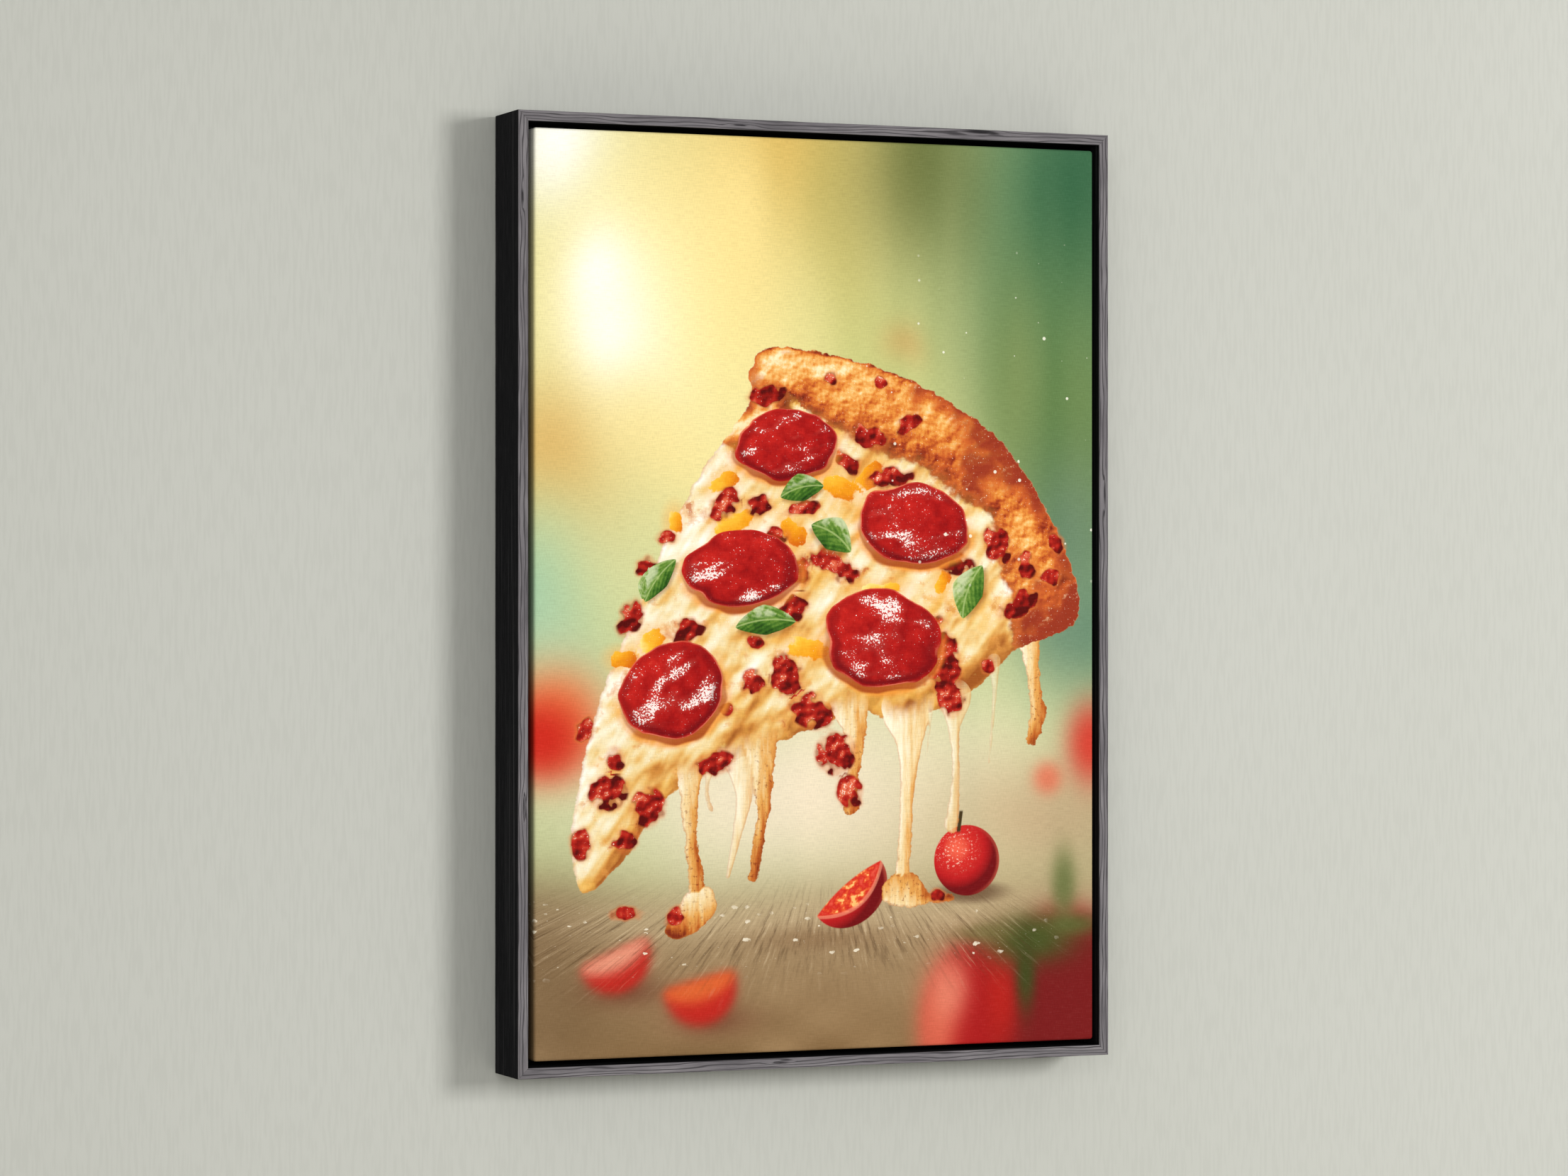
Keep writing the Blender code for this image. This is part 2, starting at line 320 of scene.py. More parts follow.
def linear(display: Grid) -> Grid:
    """Display colours of 0 to 255 as linear ones."""
    share = np.clip(display, 0.0, 255.0) / 255.0
    return np.where(share <= 0.04045, share / 12.92, ((share + 0.055) / 1.055) ** 2.4)


# ---- mesh helpers


def add_piece(name: str, mesh: Mesh, finishes: Sequence[Material]) -> Piece:
    """Links a mesh as a piece that rides on the part.

    Args:
        name: the piece's name.
        mesh: its mesh, in the part's own frame.
        finishes: its materials, in the order of its material slots.

    Returns:
        The piece.
    """
    for finish in finishes:
        mesh.materials.append(finish)
    made = bpy.data.objects.new(name, mesh)
    bpy.context.scene.collection.objects.link(made)
    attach(made, BODY)
    log.info("%s: %d faces", name, len(mesh.polygons))
    return made


def mesh_of(name: str, verts: Sequence, faces: Sequence, smooth_angle: float = 40.0) -> Mesh:
    """A mesh with its faces turned outwards and shaded smooth up to an angle in degrees.

    Args:
        name: the mesh's name.
        verts, faces: its points and faces.
        smooth_angle: the sharpest bend that stays smooth.

    Returns:
        The mesh.
    """
    made = bpy.data.meshes.new(name)
    made.from_pydata(verts, [], faces)
    bm = bmesh.new()
    bm.from_mesh(made)
    bmesh.ops.recalc_face_normals(bm, faces=bm.faces)
    bm.to_mesh(made)
    bm.free()
    made.shade_smooth()
    made.set_sharp_from_angle(angle=math.radians(smooth_angle))
    return made


def store(mesh: Mesh, name: str, numbers: Grid) -> None:
    """Stores four numbers, or three, at each point of a mesh, for its material to read.

    Args:
        mesh: the mesh.
        name: the attribute's name.
        numbers: one row a point.
    """
    filled = np.zeros((len(mesh.vertices), 4), np.float32)
    filled[:, : numbers.shape[1]] = numbers
    kept = mesh.attributes.new(name, "FLOAT_COLOR", "POINT")
    kept.data.foreach_set("color", filled.ravel())


def lattice(x: Grid, y: Grid, cell: float, seed: int) -> Grid:
    """Smooth random heights from 0 to 1 on a square lattice.

    Args:
        x, y: the places.
        cell: the lattice's pitch.
        seed: picks one lattice of many.

    Returns:
        The height at each place.
    """
    gx, gy = np.floor(x / cell), np.floor(y / cell)
    fx, fy = x / cell - gx, y / cell - gy
    fx, fy = fx * fx * (3 - 2 * fx), fy * fy * (3 - 2 * fy)

    def corner(dx: int, dy: int) -> Grid:
        """The random height of one lattice point."""
        mixed = np.sin((gx + dx) * 127.1 + (gy + dy) * 311.7 + seed * 74.7) * 43758.5453
        return mixed - np.floor(mixed)

    low = corner(0, 0) * (1 - fx) + corner(1, 0) * fx
    high = corner(0, 1) * (1 - fx) + corner(1, 1) * fx
    return low * (1 - fy) + high * fy


def curve_through(points: Sequence[Sequence[float]], steps: int = 8, closed: bool = False) -> Grid:
    """A smooth curve through the points.

    Args:
        points: each of one or more numbers, all interpolated alike.
        steps: how many pieces each stretch between two points is cut into.
        closed: whether it returns to its start.

    Returns:
        The curve's points, one a row.
    """
    known = np.array(points, float)
    count = len(known)
    spans = count if closed else count - 1
    found = []
    for i in range(spans):
        around = [(i + k) % count if closed else min(max(i + k, 0), count - 1) for k in (-1, 0, 1, 2)]
        a, b, c, d = known[around]
        for t in np.arange(steps) / steps:
            bend = (2 * a - 5 * b + 4 * c - d) * t**2 + (3 * (b - c) + d - a) * t**3
            found.append(0.5 * (2 * b + (c - a) * t + bend))
    if not closed:
        found.append(known[-1])
    return np.array(found)


# ---- wood finishes


@dataclass(frozen=True)
class FrameWood:
    """Wood stained black, its front face painted grey as if lit, with the grain showing, and its sides and
    back near black as if in shade: painted light and shade on one stain.
    """

    name: str = "black_wood_painted_lit_face"
    ring_spacing: float = 2.3 * MM
    groove: Colour = tint(44, 42, 44)
    # The painted highlight's colour, for the rails' rounded front edges.
    dust_and_highlight: Colour = tint(126, 122, 124)

    def made(self) -> Material:
        """Builds the material, which reads the rails' stored grain and knots.

        Returns:
            The material.
        """
        board = Board.fresh(self.name)
        along, across, front, piece = board.stored("grain")
        knot = board.stored("knot")[0]
        sway = board.noise(board.join(along * 17.0, across * 110.0, piece), 1.0, 2.0)
        phase = across * (2 * math.pi / self.ring_spacing) + sway * 19.0 + knot * 9.0
        ring = board.math("SINE", phase) * 0.5 + 0.5
        fibre_at = board.join(along * 60.0, across * 2600.0 + sway * 6.0, piece * 7.0)
        fibre = board.noise(fibre_at, 1.0, 3.0, 0.62)
        blotch = board.noise(board.join(along * 22.0, across * 160.0, piece * 5.0), 1.0, 2.0)
        # Painted light: the grey the front face shows as if lit, with its grain and knots.
        grey = board.ramp(
            fibre * 0.5 + blotch * 0.5,
            [(0.32, tint(86, 83, 86)), (0.48, tint(112, 108, 111)), (0.66, tint(132, 128, 130))],
        )
        grooves = (ring * 0.8 + fibre * 0.5).rise(0.78, 1.12) * (0.45 + blotch * 0.8)
        grey = board.mix(grooves, grey, self.groove)
        grey = board.mix((knot + (fibre - 0.5) * 0.9).rise(0.42, 0.95) * 0.9, grey, tint(20, 19, 21))
        # The stain's near black, which the sides and back keep as if in shade.
        black = board.ramp(
            fibre, [(0.3, tint(18, 18, 19)), (0.55, tint(28, 28, 29)), (0.78, tint(46, 45, 46))]
        )
        open_grain = board.noise(board.join(along * 5.0, across * 480.0, piece), 1.0, 3.0).rise(0.56, 0.70)
        black = board.mix(open_grain * 0.6, black, tint(62, 61, 62))
        # Painted light and shade: the front face takes the lit grey, every other face the shaded black.
        colour = board.mix(front.rise(0.35, 0.75), black, grey)
        # Painted highlight: a paler band along the rounded front edges, patchy with the blotches.
        edge = front * (1 - front) * 4.0
        colour = board.mix((edge * (0.3 + blotch)).rise(0.55, 1.0) * 0.45, colour, self.dust_and_highlight)
        relief = fibre * 0.5 + (1 - grooves) * 0.5
        return board.finish(
            {
                "Base Color": colour,
                "Roughness": 0.56 + fibre * 0.22,
                "Specular IOR Level": 0.0,
                "Normal": board.bump(relief, 0.5, 0.0003),
            }
        )


@dataclass(frozen=True)
class BarePine:
    """Planed softwood with growth rings and a few pores, for the stretcher bars."""

    name: str = "planed_pine"
    pale: Colour = tint(226, 196, 150)
    late: Colour = tint(190, 142, 88)

    def made(self) -> Material:
        """Builds the material, which reads the bars' stored grain.

        Returns:
            The material.
        """
        board = Board.fresh(self.name)
        along, across, _, piece = board.stored("grain")
        sway = board.noise(board.join(along * 3.0, across * 14.0, piece), 1.0, 2.0)
        rings = board.math("SINE", across * 1300.0 + sway * 46.0) * 0.5 + 0.5
        fine = board.noise(board.join(along * 12.0, across * 700.0, piece * 2.0), 1.0, 3.0, 0.6)
        colour = board.mix(rings**2.2 * (0.12 + sway * 0.5), self.pale, self.late)
        colour = board.mix(fine.rise(0.5, 0.8) * 0.35, colour, tint(168, 124, 80))
        return board.finish(
            {
                "Base Color": colour,
                "Roughness": 0.55 + fine * 0.2,
                "Normal": board.bump(rings * 0.4 + fine * 0.6, 0.4, 0.0003),
            }
        )


# ---- mitred frames


class Side(Enum):
    """The four members of a rectangle, as the picture is seen."""

    LEFT = "left"
    RIGHT = "right"
    TOP = "top"
    BOTTOM = "bottom"

    @property
    def upright(self) -> bool:
        """Whether the member runs up and down."""
        return self in (Side.LEFT, Side.RIGHT)

    @property
    def outward(self) -> int:
        """1 if the member lies towards +X or +Z of the middle, else -1."""
        return 1 if self in (Side.RIGHT, Side.TOP) else -1


@dataclass(frozen=True)
class Knot:
    """A dark knot: its place along a member and round its section, and how far it reaches."""

    along: float
    girth: float
    reach: float
    half: float


@dataclass
class MitredRectangle:
    """Four mitred members of one section around a rectangle.

    A section is a closed loop of (inward, y) points: inward from the rectangle's outer edge.
    """

    half_x: float
    half_z: float
    middle_z: float
    pitch: float = 4.0 * MM
    joint: float = 0.06 * MM
    plain_end: float = 6.0 * MM

    def point(self, side: Side, inward: float, y: float, share: float) -> Vector:
        """A member's point at a share from -1 to 1 of its mitred length.

        Args:
            side: which member.
            inward: how far in from the outer edge.
            y: its depth.
            share: its place along the member.

        Returns:
            The point.
        """
        reach_x, reach_z = self.half_x - inward, self.half_z - inward
        if side.upright:
            return Vector((side.outward * reach_x, y, self.middle_z + share * (reach_z - self.joint)))
        return Vector((share * (reach_x - self.joint), y, self.middle_z + side.outward * reach_z))

    def member(
        self,
        name: str,
        side: Side,
        section: Sequence[Point],
        relief: Callable[[float, float, int], float],
        front: Callable[[float, float], float],
        seed: int,
        knots: Sequence[Knot] = (),
    ) -> Mesh:
        """Builds one member's mesh with its stored grain.

        Args:
            name: the mesh's name.
            side: which member.
            section: the closed loop of its section.
            relief: the depth of the surface's grain at (along, loop length, seed), in metres.
            front: how far a section point lies on the front face, from 0 to 1.
            seed: tells this member's grain from its neighbours'.
            knots: the knots in this member.

        Returns:
            The mesh.
        """
        half = self.half_z if side.upright else self.half_x
        cuts = round(2 * half / self.pitch)
        loop = [Vector(p) for p in section]
        count = len(loop)
        girth = [0.0]
        for first, second in zip(loop, loop[1:]):
            girth.append(girth[-1] + (second - first).length)
        verts, grain = [], []
        for step in range(cuts + 1):
            share = 2 * step / cuts - 1
            for i, (inward, y) in enumerate(loop):
                before, after = loop[i - 1], loop[(i + 1) % count]
                out = Vector((before.y - after.y, after.x - before.x)).normalized()
                ends = min(1.0, (1 - abs(share)) * half / self.plain_end)
                sink = relief(share * half, girth[i], seed) * ends
                verts.append(self.point(side, inward + out.x * sink, y + out.y * sink, share))
                grain.append((share * half, girth[i], front(inward, y), seed * 3.7))
        faces = [tuple(range(count)), tuple(range(cuts * count, (cuts + 1) * count))]
        for step in range(cuts):
            for i in range(count):
                j = (i + 1) % count
                low, high = step * count, (step + 1) * count
                faces.append((low + i, low + j, high + j, high + i))
        made = mesh_of(name, verts, faces, 50.0)
        stored = np.array(grain)
        store(made, "grain", stored)
        dark = np.zeros((len(stored), 1))
        for knot in knots:
            off_along = (stored[:, 0] - knot.along) / knot.reach
            off_across = (stored[:, 1] - knot.girth) / knot.half
            dark[:, 0] = np.maximum(dark[:, 0], np.exp(-(off_along**2) - off_across**2))
        store(made, "knot", dark)
        return made


def rounded_section(corners: Sequence[Point], radii: Sequence[float], pitch: float) -> list[Point]:
    """A section's loop with its corners rounded and its flats cut to a pitch.

    Args:
        corners: the section's corners in order.
        radii: each corner's radius, or 0 for a sharp one.
        pitch: the longest gap between two points.

    Returns:
        The loop's points.
    """
    points: list[Vector] = []
    count = len(corners)
    for i, (corner, radius) in enumerate(zip(corners, radii)):
        here = Vector(corner)
        to_before = (Vector(corners[i - 1]) - here).normalized()
        to_after = (Vector(corners[(i + 1) % count]) - here).normalized()
        if radius == 0:
            points.append(here)
            continue
        arc = 4
        for step in range(arc + 1):
            t = step / arc
            start, end = here + to_before * radius, here + to_after * radius
            points.append(start * (1 - t) ** 2 + here * 2 * t * (1 - t) + end * t**2)
    loop: list[Point] = []
    for first, second in zip(points, points[1:] + points[:1]):
        cuts = max(1, math.ceil((second - first).length / pitch))
        loop += [tuple(first.lerp(second, k / cuts)) for k in range(cuts)]
    return loop


@dataclass
class FloaterFrame:
    """The four dark rails: an upright wall around the canvas, and a ledge behind it."""

    face: float = 7.0 * MM
    ledge_reach: float = 28.0 * MM
    ledge: float = 6.0 * MM
    edge_radius: float = 0.7 * MM
    grain_depth: float = 0.09 * MM
    section_pitch: float = 1.2 * MM
    knots: dict[Side, tuple[Knot, ...]] = field(
        default_factory=lambda: {
            Side.TOP: (
                Knot(118 * MM, 47.6 * MM, 20 * MM, 1.9 * MM),
                Knot(-60 * MM, 50 * MM, 9 * MM, 0.9 * MM),
            ),
            Side.LEFT: (
                Knot(262 * MM, 49 * MM, 9 * MM, 1.4 * MM),
                Knot(-140 * MM, 50 * MM, 12 * MM, 1.0 * MM),
            ),
            Side.RIGHT: (
                Knot(70 * MM, 49 * MM, 12 * MM, 1.2 * MM),
                Knot(-215 * MM, 20 * MM, 12 * MM, 5.0 * MM),
            ),
            Side.BOTTOM: (Knot(-30 * MM, 50 * MM, 10 * MM, 1.2 * MM),),
        }
    )
    box: Box = field(default_factory=lambda: (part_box("rail_left")[0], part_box("rail_right")[1]))

    def section(self) -> list[Point]:
        """The rails' L-shaped section, with its outer edges worn round.

        Returns:
            The loop of (inward, y) points.
        """
        front, back = self.box[0].y, self.box[1].y
        ledge_front = back - self.ledge
        corners = [
            (0.0, back),
            (0.0, front),
            (self.face, front),
            (self.face, ledge_front),
            (self.ledge_reach, ledge_front),
            (self.ledge_reach, back),
        ]
        worn = self.edge_radius
        return rounded_section(corners, [worn, worn, worn, 0.0, worn, worn], self.section_pitch)

    def relief(self, along: float, girth: float, seed: int) -> float:
        """How deep the brushed grain lies at a place on a rail.

        Args:
            along: the place along the rail.
            girth: the place round its section.
            seed: the rail's own seed.

        Returns:
            The depth.
        """
        x, y = np.array([along]), np.array([girth * 14 + seed])
        coarse = lattice(x, y, 30 * MM, seed)[0] - 0.5
        fine = lattice(x, y * 3, 11 * MM, seed + 5)[0] - 0.5
        return self.grain_depth * (coarse + fine)

    def front(self, inward: float, y: float) -> float:
        """1 on the front face, falling to 0 over its rounded edges: where the wood takes its painted lit
        grey and its painted edge highlight.
        """
        return max(0.0, 1.0 - (y - self.box[0].y) / self.edge_radius)

    def build(self) -> None:
        """Makes the four rails in place of their solids."""
        low, high = self.box
        rectangle = MitredRectangle((high.x - low.x) / 2, (high.z - low.z) / 2, (high.z + low.z) / 2)
        finish = FrameWood().made()
        loop = self.section()
        for seed, side in enumerate(Side, 1):
            name = f"rail_{side.value}"
            knots = self.knots[side]
            mesh = rectangle.member(f"wood_{name}", side, loop, self.relief, self.front, seed, knots)
            piece = add_piece(f"wood_{name}", mesh, [finish])
            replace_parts(piece, name)


@dataclass
class StretcherBars:
    """The four pine bars inside the canvas, with a raised lip under the cloth's edge."""

    width: float = 35.0 * MM
    lip: float = 6.0 * MM
    slope: float = 3.0 * MM
    edge_radius: float = 1.4 * MM
    inner_radius: float = 1.2 * MM
    heel_radius: float = 0.6 * MM
    section_pitch: float = 4.0 * MM
    saw_depth: float = 0.06 * MM
    box: Box = field(default_factory=lambda: (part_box("bar_left")[0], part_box("bar_right")[1]))

    def section(self) -> list[Point]:
        """A bar's section.

        Returns:
            The loop of (inward, y) points.
        """
        front, back = self.box[0].y, self.box[1].y
        corners = [
            (0.0, back),
            (0.0, front),
            (self.lip, front),
            (self.width, front + self.slope),
            (self.width, back),
        ]
        radii = [self.heel_radius, self.edge_radius, 0.0, self.inner_radius, self.inner_radius]
        return rounded_section(corners, radii, self.section_pitch)

    def relief(self, along: float, girth: float, seed: int) -> float:
        """How deep the planer's marks lie at a place on a bar."""
        return self.saw_depth * (lattice(np.array([along * 0.2]), np.array([girth]), 5 * MM, seed)[0] - 0.5)

    def build(self) -> None:
        """Makes the four bars in place of their solids."""
        low, high = self.box
        rectangle = MitredRectangle(
            (high.x - low.x) / 2, (high.z - low.z) / 2, (high.z + low.z) / 2, pitch=12 * MM, joint=0.1 * MM
        )
        finish = BarePine().made()
        loop = self.section()
        for seed, side in enumerate(Side, 11):
            name = f"bar_{side.value}"
            mesh = rectangle.member(f"pine_{name}", side, loop, self.relief, lambda inward, y: 0.0, seed)
            piece = add_piece(f"pine_{name}", mesh, [finish])
            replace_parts(piece, name)


# ---- the picture


@dataclass(frozen=True)
class Blob:
    """A soft patch of colour in the picture's blurred surroundings."""

    at: Point
    reach: Point
    colour: Colour
    strength: float = 1.0


@dataclass(frozen=True)
class Oval:
    """A thing lying on the slice or the table, with its own turned axes."""

    at: Point
    reach: Point
    turn: float = 0.0

    def local(self, u: Grid, v: Grid) -> tuple[Grid, Grid]:
        """Places in the oval's own axes, with its rim at 1.

        Args:
            u, v: the places.

        Returns:
            Where they lie along and across the oval.
        """
        c, s = math.cos(math.radians(self.turn)), math.sin(math.radians(self.turn))
        du, dv = u - self.at[0], v - self.at[1]
        return (du * c + dv * s) / self.reach[0], (dv * c - du * s) / self.reach[1]


@dataclass(frozen=True)
class Drip:
    """Melted cheese hanging along a path of (u, v, half width)."""

    path: tuple[tuple[float, float, float], ...]
    toast: float
    body: float = 1.0


@dataclass(frozen=True)
class Picture:
    """The printed picture: a pizza slice over a table, from ovals, paths and soft patches.

    Places are in picture widths: u from 0 at the left to 1, and v from 0 at the bottom to 1.5.
    """

    tip: Point = (0.084, 0.268)
    far_edge: tuple[Point, ...] = (
        (0.066, 0.33), (0.074, 0.43), (0.108, 0.565), (0.165, 0.70), (0.232, 0.85), (0.30, 0.965),
        (0.372, 1.06),
    )
    crust_rim: tuple[Point, ...] = (
        (0.374, 1.115), (0.41, 1.155), (0.52, 1.145), (0.63, 1.118), (0.73, 1.072), (0.83, 1.005),
        (0.90, 0.915), (0.948, 0.825), (0.974, 0.745), (0.962, 0.70),
    )
    near_edge: tuple[Point, ...] = (
        (0.90, 0.672), (0.85, 0.655), (0.79, 0.60), (0.72, 0.565), (0.645, 0.535), (0.575, 0.56),
        (0.50, 0.535), (0.42, 0.505), (0.34, 0.475), (0.255, 0.44), (0.20, 0.385), (0.145, 0.31),
    )
    crust_width: float = 0.098
    pepperoni: tuple[Oval, ...] = (
        Oval((0.440, 0.998), (0.092, 0.058), 3), Oval((0.667, 0.868), (0.103, 0.068), -6),
        Oval((0.360, 0.792), (0.099, 0.062), 4), Oval((0.610, 0.678), (0.103, 0.083), -8),
        Oval((0.240, 0.594), (0.094, 0.079), 20),
    )
    leaves: tuple[Oval, ...] = (
        Oval((0.466, 0.924), (0.040, 0.024), 14), Oval((0.522, 0.848), (0.042, 0.030), -32),
        Oval((0.770, 0.757), (0.048, 0.030), 68), Oval((0.402, 0.706), (0.054, 0.026), 5),
        Oval((0.214, 0.775), (0.044, 0.022), 52), Oval((0.189, 0.765), (0.024, 0.010), 80),
    )
    peppers: tuple[Oval, ...] = (
        Oval((0.590, 0.948), (0.028, 0.018), 40), Oval((0.535, 0.926), (0.032, 0.017), -25),
        Oval((0.347, 0.868), (0.036, 0.018), 15), Oval((0.452, 0.852), (0.026, 0.018), -40),
        Oval((0.330, 0.934), (0.026, 0.015), 35), Oval((0.202, 0.674), (0.024, 0.017), 50),
        Oval((0.152, 0.645), (0.020, 0.014), -5), Oval((0.478, 0.662), (0.040, 0.018), -8),
        Oval((0.606, 0.757), (0.040, 0.012), 5), Oval((0.720, 0.770), (0.020, 0.012), 60),
        Oval((0.242, 0.868), (0.012, 0.018), 0),
    )
    meat: tuple[Oval, ...] = (
        Oval((0.405, 1.075), (0.030, 0.020), 20), Oval((0.585, 1.010), (0.036, 0.016), -12),
        Oval((0.660, 1.035), (0.022, 0.014), 30), Oval((0.628, 0.943), (0.034, 0.015), 5),
        Oval((0.550, 0.968), (0.022, 0.013), -30), Oval((0.330, 0.898), (0.028, 0.018), 45),
        Oval((0.390, 0.897), (0.020, 0.015), 0), Oval((0.468, 0.890), (0.024, 0.011), 12),
        Oval((0.524, 0.800), (0.042, 0.019), -28), Oval((0.448, 0.725), (0.030, 0.019), 35),
        Oval((0.463, 0.785), (0.015, 0.022), 0), Oval((0.744, 0.803), (0.030, 0.016), -15),
        Oval((0.822, 0.833), (0.022, 0.030), 20), Oval((0.874, 0.800), (0.016, 0.020), 10),
        Oval((0.862, 0.735), (0.034, 0.018), 30), Oval((0.722, 0.640), (0.028, 0.066), 12),
        Oval((0.736, 0.575), (0.022, 0.024), 0), Oval((0.440, 0.615), (0.026, 0.034), 15),
        Oval((0.482, 0.560), (0.038, 0.026), -20), Oval((0.262, 0.690), (0.030, 0.017), 22),
        Oval((0.166, 0.712), (0.018, 0.026), -30), Oval((0.192, 0.795), (0.016, 0.014), 0),
        Oval((0.127, 0.430), (0.030, 0.026), 10), Oval((0.196, 0.405), (0.026, 0.028), -20),
        Oval((0.080, 0.348), (0.018, 0.022), 0), Oval((0.157, 0.352), (0.020, 0.015), 25),
        Oval((0.140, 0.482), (0.013, 0.016), 0), Oval((0.087, 0.530), (0.014, 0.020), -15),
        Oval((0.312, 0.474), (0.030, 0.016), 10), Oval((0.380, 0.606), (0.019, 0.018), 0),
        Oval((0.336, 0.562), (0.014, 0.010), 0), Oval((0.384, 0.672), (0.014, 0.010), 0),
        Oval((0.226, 0.840), (0.015, 0.010), 20), Oval((0.418, 0.848), (0.020, 0.010), -10),
        Oval((0.527, 0.488), (0.032, 0.032), 0), Oval((0.553, 0.424), (0.020, 0.024), 20),
        Oval((0.157, 0.232), (0.020, 0.010), 0), Oval((0.246, 0.226), (0.016, 0.014), 20),
        Oval((0.932, 0.838), (0.012, 0.018), 0), Oval((0.520, 1.104), (0.012, 0.010), 0),
        Oval((0.612, 1.102), (0.011, 0.009), 0), Oval((0.712, 0.250), (0.012, 0.010), 0),
        Oval((0.922, 0.780), (0.016, 0.012), 0), Oval((0.802, 0.630), (0.012, 0.010), 0),
    )
    drips: tuple[Drip, ...] = (
        Drip(
            ((0.272, 0.50, 0.030), (0.268, 0.43, 0.017), (0.272, 0.35, 0.012), (0.281, 0.27, 0.014)),
            0.85,
        ),
        Drip(((0.286, 0.245, 0.030), (0.262, 0.220, 0.026), (0.240, 0.205, 0.014)), 1.3),
        Drip(
            ((0.385, 0.53, 0.040), (0.397, 0.46, 0.020), (0.396, 0.38, 0.010), (0.380, 0.288, 0.009)),
            1.1,
        ),
        Drip(
            ((0.345, 0.50, 0.030), (0.364, 0.43, 0.016), (0.352, 0.36, 0.009), (0.335, 0.29, 0.004)),
            0.1, 0.75,
        ),
        Drip(((0.550, 0.58, 0.036), (0.562, 0.51, 0.018), (0.556, 0.44, 0.010), (0.556, 0.40, 0.014)), 0.9),
        Drip(
            ((0.655, 0.56, 0.046), (0.660, 0.49, 0.020), (0.654, 0.39, 0.012), (0.648, 0.29, 0.013)),
            0.3, 0.95,
        ),
        Drip(
            ((0.618, 0.248, 0.008), (0.650, 0.262, 0.030), (0.690, 0.245, 0.010), (0.735, 0.246, 0.006)),
            1.3,
        ),
        Drip(
            ((0.744, 0.58, 0.030), (0.742, 0.52, 0.010), (0.745, 0.45, 0.007), (0.737, 0.365, 0.013)),
            0.25, 0.7,
        ),
        Drip(
            ((0.880, 0.68, 0.022), (0.888, 0.61, 0.011), (0.897, 0.55, 0.015), (0.886, 0.508, 0.010)),
            1.0,
        ),
        Drip(((0.815, 0.64, 0.012), (0.816, 0.58, 0.004), (0.806, 0.47, 0.002)), 0.0, 0.5),
        Drip(((0.700, 0.58, 0.008), (0.697, 0.53, 0.0025), (0.690, 0.475, 0.0015)), 0.0, 0.4),
        Drip(((0.305, 0.47, 0.008), (0.298, 0.43, 0.003), (0.305, 0.40, 0.004)), 0.3, 0.6),
    )
    tomatoes: tuple[Oval, ...] = (
        Oval((0.765, 0.307), (0.061, 0.060), 0),
        Oval((0.552, 0.264), (0.074, 0.060), 38),
    )
    light: Point = (-0.50, 0.62)
    level: float = 0.54
    contrast: float = 0.62
    patches: tuple[Blob, ...] = (
        Blob((0.25, 1.22), (0.46, 0.42), (252, 232, 160)),
        Blob((0.28, 1.06), (0.16, 0.10), (244, 228, 162), 0.7),
        Blob((0.14, 0.85), (0.14, 0.09), (208, 212, 158), 0.7),
        Blob((0.01, 0.96), (0.15, 0.11), (218, 180, 106), 1.0),
        Blob((0.20, 1.02), (0.10, 0.07), (244, 222, 150), 0.6),
        Blob((0.46, 1.54), (0.20, 0.22), (220, 182, 96), 0.9),
        Blob((0.36, 1.36), (0.07, 0.13), (254, 226, 150), 0.7),
        Blob((0.56, 1.30), (0.06, 0.26), (196, 178, 98), 0.55),
        Blob((0.62, 1.10), (0.20, 0.22), (196, 198, 128), 0.8),
        Blob((0.655, 1.145), (0.045, 0.040), (212, 170, 104), 0.7),
        Blob((0.70, 1.50), (0.12, 0.22), (104, 108, 56), 0.85),
        Blob((0.79, 1.40), (0.05, 0.20), (126, 126, 70), 0.5),
        Blob((0.82, 1.20), (0.10, 0.17), (178, 184, 124), 0.9),
        Blob((1.00, 1.42), (0.20, 0.36), (50, 96, 66), 1.0),
        Blob((0.98, 1.05), (0.14, 0.24), (96, 124, 70), 0.95),
        Blob((0.88, 1.12), (0.05, 0.18), (132, 146, 88), 0.6),
        Blob((0.98, 0.88), (0.09, 0.14), (98, 126, 98), 0.9),
        Blob((0.02, 1.50), (0.13, 0.12), (255, 253, 242), 1.0),
        Blob((0.13, 1.21), (0.115, 0.150), (254, 248, 214), 0.85),
        Blob((0.12, 1.25), (0.070, 0.070), (255, 254, 240), 0.9),
        Blob((0.135, 1.155), (0.075, 0.070), (255, 253, 236), 0.9),
        Blob((0.00, 0.71), (0.13, 0.14), (160, 198, 164), 0.9),
        Blob((1.00, 0.72), (0.15, 0.13), (104, 136, 110), 0.95),
        Blob((0.46, 0.43), (0.46, 0.18), (236, 222, 194), 1.0),
        Blob((0.94, 0.36), (0.26, 0.12), (188, 162, 126), 0.9),
    )
